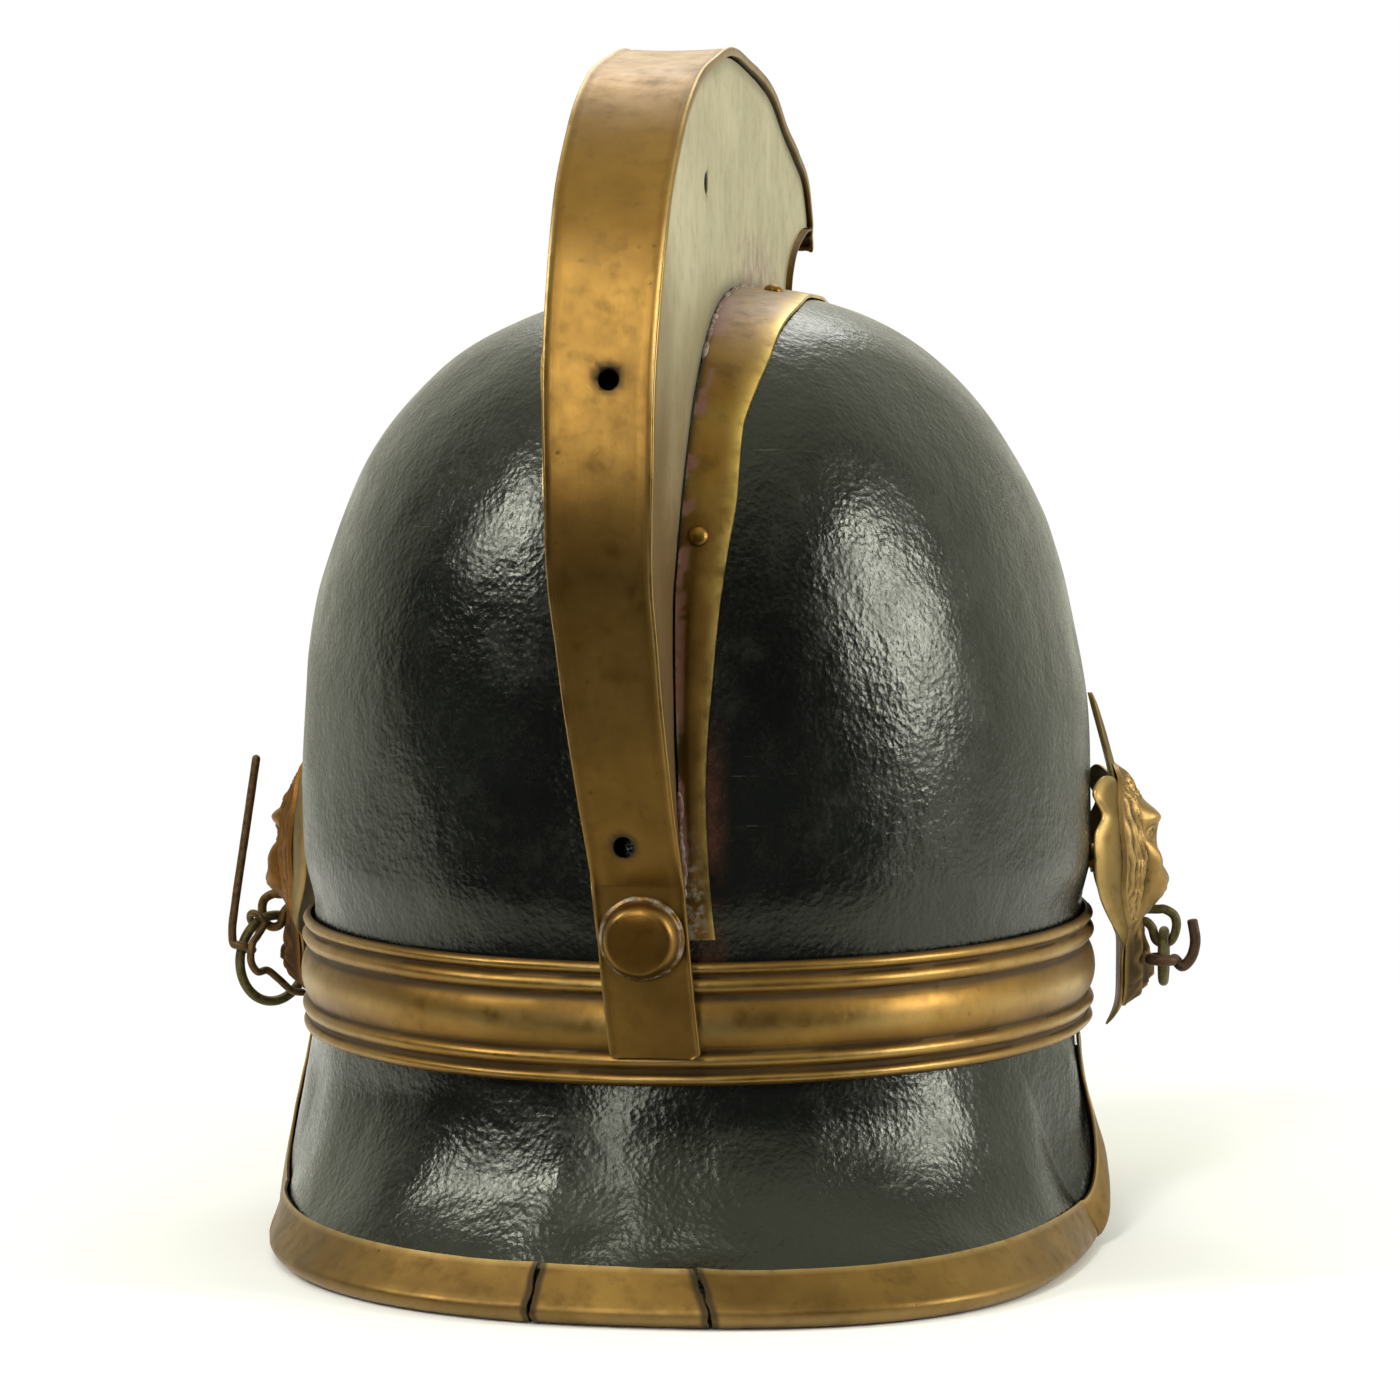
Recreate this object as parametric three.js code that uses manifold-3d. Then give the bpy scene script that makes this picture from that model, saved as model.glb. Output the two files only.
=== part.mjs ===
// A black leather fire helmet with a brass comb, lion-head side bosses, wire hooks and rings.
// Millimetres, +Z up. The front faces -Y, so +X is the wearer's left. The origin is on the
// surface that the helmet stands on, under the middle of the space that it takes up.
import * as THREE from "three";
import { mergeVertices } from "three/addons/utils/BufferGeometryUtils.js";
import Module from "manifold-3d";

const wasm = await Module();
wasm.setup();

// Sizes of the whole helmet
const clearance = 0.3; // between pieces that touch
const overrun = 4; // how far a cutting tool runs past what it cuts

// Leather skull: an oval dome that draws in a little below its widest level
const skullHalfWidth = 100;
const skullHalfDepth = 119;
const skullTopZ = 235;
const skullWaistZ = 95;
const skullRimZ = 52;
const skullTuck = 2.8;
const skullWall = 3;
const widthPower = 2.55; // the cross-section is a little squarer than an ellipse
const depthPower = 2.8; // and the side view squarer still

// Browband: a brass strip rolled into beads, from its lower edge up
const bandBottomZ = 50;
const bandBeads = [2.8, 3.7, 11.8, 4, 2.8];
const bandGrooves = [1.1, 0.5, 1.2, 0.7];
const bandBulges = [1.3, 1.6, 1.9, 1.6, 1.3];
const bandSheet = 0.6;
const bandFloor = 1.6; // how far the groove floor stands off the leather
const bandSplitY = -20; // where its two halves meet, behind the bosses

// Neck guard and front peak
const leather = 2.6;
const guardReach = 28; // how far the guard's edge stands behind the skull
const guardInset = 1.5; // how much narrower it is than the skull at each side
const guardHalfWidth = skullHalfWidth - guardInset;
const guardSkew = 7; // how far its rear edge is pulled to the wearer's right
const guardCornerY = 36; // where the edge leaves the ground to rise to the band
const guardEndY = 11;
const peakEndY = -38;
const peakInset = 10; // how much narrower the peak is at each side
const peakHalfWidth = skullHalfWidth - peakInset;
const peakCornerY = -84;
const trimSheet = 0.7;
const trimDepth = 11;
const trimGap = 0.6; // between the leather's edge and the trim folded over it
const trimFold = 1.5; // its thickness where it is folded under the edge
const groundCut = 0.8; // how much of the trim is worn flat where it stands

// Comb
const combRise = 58; // over the top of the skull
const combStand = 35; // behind the skull, which is also the front peak's reach past it
const combTailHalf = 10.6;
const combCrestHalf = 13.7;
const combTailZ = 57;
const combSheet = 1;
const combLip = 1.9;
const combBead = 0.45;
const combDish = 0.5;
const combCurl = 4; // the crown strip's curl at the front tip
const tailDrift = 7.6; // how far the tail is pulled to the wearer's right
const driftTopZ = 164;
const footSheet = 0.8;
const footTopWidth = 17;
const footTailWidth = 2.2;
const ventRadius = 2.4;
const wallHoleRadius = 1.8;
const lowerVentTurn = 5; // degrees up from the level of the skull's waist
const upperVentTurn = 38;
const ventOffset = 2; // to the side of the strip's middle

// Knob at the comb's tail, and the rivets of its feet
const knobRadius = 10;
const knobFlatRadius = 7.7;
const knobHeight = 6.5;
const knobZ = 85.3;
const knobStudRadius = 2.4;
const nutRadius = 6;
const nutHeight = 3.5;
const rivetRadius = 2.2;
const rivetDome = 1.4;
const rivetShank = 1.1;

// Side bosses
const bossY = -20;
const bossZ = 90;
const bossStandOff = 7.4; // from the skull's widest level out to the plate's face
const bossStand = skullHalfWidth + bossStandOff;
const bossToe = 8; // degrees that the plate faces forward
const plateTop = 42.6;
const plateBottom = 43;
const plateHalf = 26;
const plateCamber = 6.5;
const plateSheet = 0.9;
const headRise = 11.6; // the lion's nose tip over the plate
const headEdge = 1.1; // the casting's thickness at its edge
const headHalf = 17.5;
const headTop = 24.5;
const headBottom = 38;
const beardDrop = 15; // where the beard starts, under the middle of the boss
const bossStudRadius = 2.5;
const bossCollarRadius = 6;

// Wire fittings in the lions' mouths
const eyeWire = 1.2;
const eyeHalf = 3.2;
const eyeDrop = 22; // from the middle of the boss down to the eye's lower bar
const eyeTop = 13.2;
const eyeStand = 10; // the eye's middle from the plate's face
const hookBow = 1; // how far the long hook's shank bows outward
const leftRingRadius = 11.4;
const rightRingRadius = 6.4;
const ringWire = 1.3;
const hookWire = 1.1;
const linkWire = 1;
const jHookWire = 1.4;
const hookPlay = 0.45; // between a hook's loop and its ring
const hookHeight = 50;
const hookLean = 6.5;
const jHookReach = 5.2;
const jHookTip = 10.5;

// Lining
const sweatbandSheet = 1.3;
const sweatbandTopZ = 80;
const liningGap = 3; // between the shell and the sweatband
const linerSheet = 1.2;
const linerTopZ = 196;
const linerSpringZ = 86; // where its tongues start
const linerHoleRadius = 14;
const tongueCount = 8;
const tongueGap = 4;

// Lengths worked out from the sizes above
const halfLength = skullHalfDepth + combStand;
const sum = (list) => list.reduce((total, value) => total + value, 0);
const bandTopZ = bandBottomZ + sum(bandBeads) + sum(bandGrooves);
const waistToBand = skullWaistZ - bandTopZ;
const rimHalfWidth = skullHalfWidth - skullTuck;
const rimHalfDepth = skullHalfDepth - skullTuck;
const bandBulge = Math.max(...bandBulges);
const bandReach = bandFloor + bandBulge; // from the skull's rim to the band's crest

// Triangles are kept low, because the fine surface belongs to the finish
const aroundSkull = 40;
const rowsSkull = 8;
const aroundFlare = 48;
const aroundLining = 24;

const brass = (color) => new THREE.MeshStandardMaterial({ color, roughness: 0.42, metalness: 1 });
const hide = (color) => new THREE.MeshStandardMaterial({ color, roughness: 0.35, metalness: 0 });
const agedBrass = brass("#8f6f33");
const paleBrass = brass("#b3a46f");
const bossBrass = brass("#96733a");
const iron = new THREE.MeshStandardMaterial({ color: "#4a3a2c", roughness: 0.6, metalness: 0.8 });
const blackHide = hide("#20221e");
const brownHide = hide("#6b4a2e");

const helmet = new THREE.Group();

function addPiece(name, geometry, material) {
  const piece = new THREE.Mesh(geometry, material);
  piece.name = name;
  helmet.add(piece);
}

const vector = (x, y, z) => new THREE.Vector3(x, y, z);
const mix = THREE.MathUtils.lerp;

// Closed bodies

// Merges the corners, drops faces that have no area, and turns the body right side out.
function closedBody(points, faces) {
  const loose = new THREE.BufferGeometry();
  loose.setAttribute("position", new THREE.Float32BufferAttribute(points.flatMap((p) => p.toArray()), 3));
  loose.setIndex(faces.flat());
  const merged = mergeVertices(loose);
  const at = (index) => vector().fromBufferAttribute(merged.attributes.position, index);
  const kept = [];
  let volume = 0;
  for (let i = 0; i < merged.index.count; i += 3) {
    const [a, b, c] = [0, 1, 2].map((k) => merged.index.getX(i + k));
    if (a === b || b === c || c === a) continue;
    kept.push([a, b, c]);
    volume += at(a).dot(at(b).cross(at(c)));
  }
  merged.setIndex(kept.flatMap(([a, b, c]) => (volume < 0 ? [a, c, b] : [a, b, c])));
  return merged;
}

// A thick sheet between two grids of rows of points. Its rows can close on themselves.
function thickSheet(outer, inner, closed = false) {
  const rows = outer.length;
  const columns = outer[0].length;
  const points = [...outer.flat(), ...inner.flat()];
  const faces = [];
  const outside = (row, column) => row * columns + (column % columns);
  const inside = (row, column) => rows * columns + outside(row, column);
  const quad = (a, b, c, d) => faces.push([a, b, c], [a, c, d]);
  const spans = closed ? columns : columns - 1;
  for (let j = 0; j < rows - 1; j++) {
    for (let i = 0; i < spans; i++) {
      quad(outside(j, i), outside(j, i + 1), outside(j + 1, i + 1), outside(j + 1, i));
      quad(inside(j, i), inside(j + 1, i), inside(j + 1, i + 1), inside(j, i + 1));
    }
    if (!closed) {
      quad(outside(j, 0), outside(j + 1, 0), inside(j + 1, 0), inside(j, 0));
      quad(outside(j, spans), inside(j, spans), inside(j + 1, spans), outside(j + 1, spans));
    }
  }
  for (let i = 0; i < spans; i++) {
    quad(outside(0, i), inside(0, i), inside(0, i + 1), outside(0, i + 1));
    quad(outside(rows - 1, i), outside(rows - 1, i + 1), inside(rows - 1, i + 1), inside(rows - 1, i));
  }
  return closedBody(points, faces);
}

// A body lofted through rings of points that all follow one flat outline.
function loft(rings, outline, closed = false) {
  const count = outline.length;
  const points = rings.flat();
  const faces = [];
  const last = closed ? rings.length : rings.length - 1;
  for (let j = 0; j < last; j++) {
    const [here, next] = [j * count, ((j + 1) % rings.length) * count];
    for (let i = 0; i < count; i++) {
      const k = (i + 1) % count;
      faces.push([here + i, here + k, next + k], [here + i, next + k, next + i]);
    }
  }
  if (!closed) {
    const cap = THREE.ShapeUtils.triangulateShape(outline, []);
    const turned = THREE.ShapeUtils.isClockWise(outline);
    const end = last * count;
    for (const [a, b, c] of cap) {
      faces.push(turned ? [a, b, c] : [a, c, b]);
      faces.push(turned ? [end + a, end + c, end + b] : [end + a, end + b, end + c]);
    }
  }
  return closedBody(points, faces);
}

// Booleans
function solid(geometry) {
  const bare = geometry.clone();
  bare.deleteAttribute("normal");
  bare.deleteAttribute("uv");
  const merged = mergeVertices(bare, 1e-4);
  const vertProperties = merged.attributes.position.array;
  const triVerts = new Uint32Array(merged.index.array);
  return new wasm.Manifold(new wasm.Mesh({ numProp: 3, vertProperties, triVerts }));
}

function bodyOf(manifold) {
  const mesh = manifold.getMesh();
  const geometry = new THREE.BufferGeometry();
  geometry.setAttribute("position", new THREE.BufferAttribute(new Float32Array(mesh.vertProperties), 3));
  geometry.setIndex(new THREE.BufferAttribute(new Uint32Array(mesh.triVerts), 1));
  return geometry;
}

// Slivers that a cut leaves are merged away, since they don't survive rounding.
const sliver = 0.01;
const cut = (geometry, ...tools) =>
  bodyOf(tools.reduce((left, tool) => left.subtract(solid(tool)), solid(geometry)).simplify(sliver));

// Stands a lathed or other Y-up geometry on a place, with its axis along a direction.
function placed(geometry, place, direction) {
  const turn = new THREE.Quaternion().setFromUnitVectors(vector(0, 1, 0), direction.clone().normalize());
  return geometry.applyQuaternion(turn).translate(place.x, place.y, place.z);
}

function drill(place, direction, radius, length) {
  return placed(new THREE.CylinderGeometry(radius, radius, length, 10), place, direction);
}

// A profile of radius and height pairs, turned round its axis.
function turned(profile, sides = 16) {
  return new THREE.LatheGeometry(profile.map(([r, h]) => new THREE.Vector2(r, h)), sides);
}

// The skull's surface

// Half the width and half the depth of the dome at a height, a distance inside its outer face.
function skullRadii(z, inset = 0) {
  const fall = Math.min(1, Math.max(0, (skullWaistZ - z) / waistToBand));
  const rise = Math.min(1, Math.max(0, (z - skullWaistZ) / (skullTopZ - inset - skullWaistZ)));
  const tuck = skullTuck * fall * fall * (3 - 2 * fall) + inset;
  return [
    (skullHalfWidth - tuck) * (1 - rise ** widthPower) ** (1 / widthPower),
    (skullHalfDepth - tuck) * (1 - rise ** depthPower) ** (1 / depthPower),
  ];
}

const radians = THREE.MathUtils.degToRad;

// A point over the middle of the skull: its turn rises from the back over the top to the front.
function overSkull(turn, radius, x = 0) {
  return vector(x, radius * Math.cos(radians(turn)), skullWaistZ + radius * Math.sin(radians(turn)));
}

// How far the skull's face lies from the middle of its waist along a turn, x to the side.
function skullReach(turn, x = 0, inset = 0) {
  let inside = 0;
  let outside = 2 * skullTopZ;
  for (let step = 0; step < 40; step++) {
    const radius = (inside + outside) / 2;
    const { y, z } = overSkull(turn, radius);
    const [halfWidth, halfDepth] = skullRadii(z, inset);
    const within = z < skullTopZ - inset && (x / halfWidth) ** 2 + (y / halfDepth) ** 2 < 1;
    if (within) inside = radius;
    else outside = radius;
  }
  return inside;
}

function skullRow(z, inset, columns = aroundSkull) {
  const [halfWidth, halfDepth] = skullRadii(z, inset);
  const row = [];
  for (let i = 0; i < columns; i++) {
    const angle = (2 * Math.PI * i) / columns;
    row.push(vector(halfWidth * Math.cos(angle), halfDepth * Math.sin(angle), z));
  }
  return row;
}

function domeRows(inset) {
  const rows = [skullRimZ, bandTopZ, (bandTopZ + skullWaistZ) / 2].map((z) => skullRow(z, inset));
  for (let j = 0; j <= rowsSkull; j++) {
    const rise = Math.sin((Math.PI / 2) * (j / rowsSkull)) ** (2 / widthPower);
    rows.push(skullRow(mix(skullWaistZ, skullTopZ - inset, rise), inset));
  }
  return rows;
}

// Sideways drift of the comb's tail
function drift(z) {
  const share = Math.max(0, (driftTopZ - z) / (driftTopZ - combTailZ));
  return -tailDrift * share ** 1.15;
}

const drifted = (point) => vector(point.x + drift(point.z), point.y, point.z);

// The comb: how far it stands off the skull, as a share of its rise, at each turn in degrees
const combStandShares = [
  [1, 0.11], [5, 0.19], [12, 0.325], [21, 0.51], [27, 0.695], [32, 0.83], [37, 0.93], [43, 1.015],
  [49, 1.08], [56, 1.1], [64, 1.085], [72, 1.04], [80, 1.03], [90, 0.983], [101, 0.95], [110, 0.91],
  [117, 0.96], [123, 1.05], [126.5, 1.02], [129, 0.95],
];
const combStartTurn = combStandShares[0][0];
const combEndTurn = combStandShares.at(-1)[0];
const standCurve = new THREE.SplineCurve(
  combStandShares.map(([turn, share]) => new THREE.Vector2(turn, share)),
);

function combStandAt(turn) {
  let low = 0;
  let high = 1;
  for (let step = 0; step < 30; step++) {
    const middle = (low + high) / 2;
    if (standCurve.getPoint(middle).x < turn) low = middle;
    else high = middle;
  }
  return combRise * standCurve.getPoint(low).y;
}

// The tail lies on the band, and runs straight up to where the comb starts to swell
const tailY = rimHalfDepth + bandReach + clearance + combSheet + combDish;
const tailTop = overSkull(combStartTurn, skullReach(combStartTurn) + combStandAt(combStartTurn));
const tailSlope = (tailTop.y - tailY) / (tailTop.z - combTailZ);
const tailYAt = (z) => tailY + tailSlope * (z - combTailZ);

function combReach(turn, drop = 0) {
  if (turn >= combStartTurn) return skullReach(turn) + combStandAt(turn) - drop;
  return tailYAt(skullWaistZ) / (Math.cos(radians(turn)) - tailSlope * Math.sin(radians(turn))) - drop;
}

function combHalf(turn) {
  const share = THREE.MathUtils.smoothstep(turn, -4, 62);
  return mix(combTailHalf, combCrestHalf, share);
}

function crownStrip() {
  const middle = [];
  const tailSteps = 3;
  for (let i = 0; i < tailSteps; i++) {
    const z = mix(combTailZ, tailTop.z, i / tailSteps);
    middle.push({ at: vector(0, tailYAt(z), z), half: combTailHalf });
  }
  const steps = 28;
  for (let i = 0; i <= steps; i++) {
    const turn = mix(combStartTurn, combEndTurn, i / steps);
    middle.push({ at: overSkull(turn, combReach(turn)), half: combHalf(turn) });
  }
  const curlShares = [[0.45, 0.25], [1, 0.2]]; // down from the tip, and forward of it in degrees
  for (const [down, forward] of curlShares) {
    const turn = combEndTurn + forward;
    middle.push({ at: overSkull(turn, combReach(combEndTurn, combCurl * down)), half: combHalf(turn) });
  }
  const rings = middle.map(({ at, half }, i) => {
    const before = middle[Math.max(0, i - 1)].at;
    const after = middle[Math.min(middle.length - 1, i + 1)].at;
    const along = after.clone().sub(before).normalize();
    const out = vector(0, along.z, -along.y);
    return stripSection(half).map(({ x, y }) =>
      drifted(at.clone().addScaledVector(out, y).add(vector(x, 0, 0))),
    );
  });
  return loft(rings, stripSection(combCrestHalf));
}

// The crown strip's section: rolled edges, a dished middle, and lips that hide the walls' edges
function stripSection(half) {
  const edge = 2 * combSheet;
  const points = [
    [-half, -combLip],
    [-half, 0],
    [-half + edge / 2, combBead],
    [-half + edge, 0],
    [0, -combDish],
    [half - edge, 0],
    [half - edge / 2, combBead],
    [half, 0],
    [half, -combLip],
    [half - combSheet, -combLip],
    [half - combSheet, -combSheet],
    [0, -combSheet - combDish],
    [-half + combSheet, -combSheet],
    [-half + combSheet, -combLip],
  ];
  return points.map(([x, y]) => new THREE.Vector2(x, y));
}

// The comb's front edge: its turn falls back between the tip and the skull, in a hollow curve
const frontTurnShares = [122, 118, 119.2, 123.5, 127.2];
const wallRows = frontTurnShares.length - 1;
const wallStartTurn = -4.5;
const wallHalf = (turn) => combHalf(turn) - combSheet - clearance;

function combWall(side) {
  const grid = (inset) => {
    const rows = [];
    for (let j = 0; j <= wallRows; j++) {
      const row = [];
      const columns = 24;
      for (let i = 0; i <= columns; i++) {
        const turn = mix(wallStartTurn, frontTurnShares[j], i / columns);
        const x = side * (wallHalf(turn) - inset);
        const foot = skullReach(turn, x + drift(overSkull(turn, skullReach(turn)).z)) + clearance;
        const crest = combReach(turn, combSheet + combDish + 3 * clearance);
        row.push(drifted(overSkull(turn, mix(foot, crest, j / wallRows), x)));
      }
      rows.push(row);
    }
    return rows;
  };
  const hole = drill(wallHole(), vector(1, 0, 0), wallHoleRadius, 4 * combCrestHalf);
  return cut(thickSheet(grid(0), grid(combSheet)), hole);
}

const wallHoleTurn = 67;
const wallHole = () => overSkull(wallHoleTurn, combReach(wallHoleTurn, combRise / 2));

function combFrontPlate() {
  const half = combHalf(combEndTurn);
  const layer = (forward) =>
    frontTurnShares.map((turn, j) => {
      const foot = skullReach(turn) + 2 * clearance;
      const crest = combReach(turn, combSheet + combDish + 2 * clearance + combBead * 4);
      const radius = mix(foot, crest, j / wallRows);
      const ahead = turn + THREE.MathUtils.radToDeg(forward / radius);
      return [-1, 1].map((side) => overSkull(ahead, radius, side * half));
    });
  return thickSheet(layer(clearance + combSheet), layer(clearance));
}

const footStartTurn = wallStartTurn + 1;
const footEndTurn = 121;

function footWidth(turn) {
  return mix(footTailWidth, footTopWidth, THREE.MathUtils.smoothstep(turn, 8, 78));
}

// The strips that carry the comb lie on the leather beside its walls
function combFoot(side) {
  const columns = 28;
  const layer = (lift) =>
    [0, 0.5, 1].map((edge) => {
      const row = [];
      for (let i = 0; i <= columns; i++) {
        const turn = mix(footStartTurn, footEndTurn, i / columns);
        const x = side * (wallHalf(turn) + clearance + edge * footWidth(turn));
        const shift = drift(overSkull(turn, skullReach(turn)).z);
        row.push(overSkull(turn, skullReach(turn, x + shift, -lift), x + shift));
      }
      return row;
    });
  const holes = rivetTurns.map((turn) =>
    drill(rivetSeat(side, turn), rivetAxis(side, turn), rivetBore, 2 * overrun),
  );
  return cut(thickSheet(layer(clearance + footSheet), layer(clearance)), ...holes);
}

const rivetTurns = [37, 82, 113];
const rivetBore = rivetShank + clearance;

const probeTurn = 1; // a small step over the leather, in degrees
const probe = skullHalfWidth / 100; // and the same to the side

function skullNormal(turn, x) {
  const here = overSkull(turn, skullReach(turn, x), x);
  const ahead = overSkull(turn + probeTurn, skullReach(turn + probeTurn, x), x);
  const aside = overSkull(turn, skullReach(turn, x + probe), x + probe);
  return ahead.sub(here).cross(aside.sub(here)).normalize().negate();
}

function rivetSeat(side, turn, lift = 0) {
  const x = side * (wallHalf(turn) + clearance + footWidth(turn) / 2);
  const shift = drift(overSkull(turn, skullReach(turn)).z);
  const seat = overSkull(turn, skullReach(turn, x + shift), x + shift);
  return seat.addScaledVector(rivetAxis(side, turn), lift);
}

function rivetAxis(side, turn) {
  const normal = skullNormal(turn, side * (wallHalf(turn) + clearance + footWidth(turn) / 2));
  return normal.z < 0 ? normal.negate() : normal;
}

function combRivet(side, turn) {
  const seat = 2 * clearance + footSheet;
  const tail = skullWall + rivetDome + 2 * clearance;
  const profile = [
    [0, -tail - rivetDome],
    [rivetRadius, -tail - rivetDome / 2],
    [rivetRadius, -tail],
    [rivetShank, -tail],
    [rivetShank, seat],
    [rivetRadius, seat],
    [rivetRadius * 0.72, seat + rivetDome * 0.7],
    [0, seat + rivetDome],
  ];
  return placed(turned(profile, 8), rivetSeat(side, turn), rivetAxis(side, turn));
}

// The knob, its stud through the comb and the skull, and the nut inside
const knobX = drift(knobZ);
const knobAxis = vector(0, 1, -tailSlope).normalize();
const knobFace = vector(knobX, tailYAt(knobZ), knobZ).addScaledVector(knobAxis, combBead + clearance);
const knobTurn = THREE.MathUtils.radToDeg(Math.atan2(knobZ - skullWaistZ, skullHalfDepth));
const skullBackY = skullReach(knobTurn, Math.abs(knobX) + nutRadius);
const knobNutDepth = knobFace.y - skullBackY + skullWall + 3 * clearance; // to the nut's near face

function combKnob() {
  const stud = knobNutDepth + nutHeight + clearance;
  const profile = [
    [0, -stud],
    [knobStudRadius, -stud],
    [knobStudRadius, 0],
    [knobRadius * 0.93, 0],
    [knobRadius, knobHeight * 0.2],
    [knobRadius, knobHeight * 0.55],
    [knobFlatRadius, knobHeight * 0.94],
    [knobFlatRadius * 0.94, knobHeight],
    [0, knobHeight],
  ];
  return placed(turned(profile), knobFace, knobAxis);
}

function hexNut(place, direction, hole) {
  const nut = new THREE.CylinderGeometry(nutRadius, nutRadius, nutHeight, 6);
  const bore = new THREE.CylinderGeometry(hole, hole, nutHeight + 2 * overrun, 12);
  return placed(cut(nut, bore), place, direction);
}

const studBore = knobStudRadius + clearance;
const knobBore = () => drill(knobFace, knobAxis, studBore, 2 * combStand);

function ventHole(turn, x) {
  const at = overSkull(turn, combReach(turn), x);
  return drill(drifted(at), overSkull(turn, 1).sub(overSkull(turn, 0)), ventRadius, 2 * overrun);
}

// Browband
function bandProfile() {
  const points = [];
  let z = bandBottomZ;
  bandBeads.forEach((height, bead) => {
    const steps = bead === 2 ? 4 : bead % 2 ? 3 : 2;
    for (let i = 0; i <= steps; i++) {
      const share = i / steps;
      const bulge = bandBulges[bead] * Math.sin(Math.PI * share) ** 0.7;
      points.push(new THREE.Vector2(bandFloor + bulge, z + height * share));
    }
    z += height + (bandGrooves[bead] ?? 0);
  });
  points.push(new THREE.Vector2(bandFloor - bandSheet, bandTopZ));
  points.push(new THREE.Vector2(bandFloor - bandSheet, bandBottomZ));
  return points;
}

function browband(rear) {
  const profile = bandProfile();
  const steps = 20;
  const sign = rear ? 1 : -1;
  const start = Math.asin((bandSplitY + sign * (clearance / 2)) / (rimHalfDepth + bandFloor));
  const rings = [];
  for (let i = 0; i <= steps; i++) {
    const angle = mix(start, sign * Math.PI - start, i / steps);
    rings.push(
      profile.map(({ x: out, y: z }) =>
        vector((rimHalfWidth + out) * Math.cos(angle), (rimHalfDepth + out) * Math.sin(angle), z),
      ),
    );
  }
  return loft(rings, profile);
}

// Neck guard and front peak: each flares from the skull's rim down to its own free edge.
// An edge point is given by how far along the edge it lies, from -1 to 1.
const guardTipY = skullHalfDepth + guardReach;
const peakTipY = -halfLength + trimFold + trimGap;
const flares = {
  guard: {
    sign: 1, endY: guardEndY, half: guardHalfWidth, cornerY: guardCornerY, tipY: guardTipY, skew: guardSkew,
    bendShares: [0.12, 0.5], // how far out it already is halfway down, at its middle and at its sides
  },
  peak: {
    sign: -1, endY: peakEndY, half: peakHalfWidth, cornerY: peakCornerY, tipY: peakTipY, skew: 0,
    bendShares: [0.12, 0.12],
  },
};
const edgeWidthPower = 0.85; // the edge on the ground is a little squarer than an ellipse
const edgeReachPower = 0.8;
const bendTurnShares = [0.4, 0.9]; // where along a flare its middle's bend turns into its sides'

const edgeLeanShare = 0.8; // how far its leaning edge hangs under its outer corner, per leather
const edgeZ = edgeLeanShare * leather + trimFold + trimGap - groundCut; // that corner over the ground
const flareTopZ = skullRimZ - clearance;

function flareTop({ sign, endY }, along) {
  const start = Math.asin(endY / rimHalfDepth);
  const angle = mix(start, sign * Math.PI - start, (1 - along) / 2);
  return vector(rimHalfWidth * Math.cos(angle), rimHalfDepth * Math.sin(angle), flareTopZ);
}

function flareEdge(flare, along) {
  const { endY, half, cornerY, tipY, skew } = flare;
  const side = Math.sign(along);
  const cornerShare = 0.72; // the part of the edge that lies on the ground
  const share = Math.abs(along) / cornerShare;
  if (share <= 1) {
    const angle = share * (Math.PI / 2);
    const reach = Math.cos(angle) ** edgeReachPower;
    const x = side * half * Math.sin(angle) ** edgeWidthPower - skew * reach;
    return vector(x, mix(cornerY, tipY, reach), edgeZ);
  }
  const rest = (share - 1) / (1 / cornerShare - 1);
  const top = flareTop(flare, side);
  const lower = vector(side * half, mix(cornerY, endY, 0.42), edgeZ);
  const corner = vector(side * half, cornerY, edgeZ);
  return new THREE.QuadraticBezierCurve3(corner, lower, top).getPoint(rest);
}

function flarePoint(flare, along, down) {
  const top = flareTop(flare, along);
  const edge = flareEdge(flare, along);
  const sideways = THREE.MathUtils.smoothstep(Math.abs(along), ...bendTurnShares);
  const out = mix(...flare.bendShares, sideways);
  const bend = vector(mix(top.x, edge.x, out), mix(top.y, edge.y, out), mix(top.z, edge.z, 0.5));
  return new THREE.QuadraticBezierCurve3(top, bend, edge).getPoint(down);
}

function flareNormal(flare, along, down) {
  const step = 0.01;
  const ahead = flarePoint(flare, Math.min(1, along + step), down);
  const behind = flarePoint(flare, Math.max(-1, along - step), down);
  const lower = flarePoint(flare, along, Math.min(1, down + step));
  const upper = flarePoint(flare, along, Math.max(0, down - step));
  const normal = ahead.sub(behind).cross(lower.sub(upper)).normalize();
  const outward = flareTop(flare, along).setZ(0);
  return normal.dot(outward) < 0 ? normal.negate() : normal;
}

const flareEndShare = 0.985; // the flare stops just short of a point at each end

// Where the trim's edge lies on a flare, from its top at 0 to its free edge at 1
function trimLine(flare, along) {
  const length = flareTop(flare, along).distanceTo(flareEdge(flare, along));
  return 1 - Math.min(trimDepth / length, 0.8);
}

function flareBody(flare) {
  const columns = aroundFlare;
  const downShares = [0, 0.3, 0.66, 1];
  const layer = (depth) => {
    const grid = [];
    for (let j = 0; j <= downShares.length; j++) {
      const row = [];
      for (let i = 0; i <= columns; i++) {
        const along = mix(-flareEndShare, flareEndShare, i / columns);
        const down = j < downShares.length ? downShares[j] * trimLine(flare, along) : 1;
        const point = flarePoint(flare, along, down);
        const level = flareTop(flare, along).setZ(0).normalize();
        const normal = j === 0 ? level : flareNormal(flare, along, down);
        row.push(point.addScaledVector(normal, -depth));
      }
      grid.push(row);
    }
    return grid;
  };
  return thickSheet(layer(0), layer(leather));
}

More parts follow.
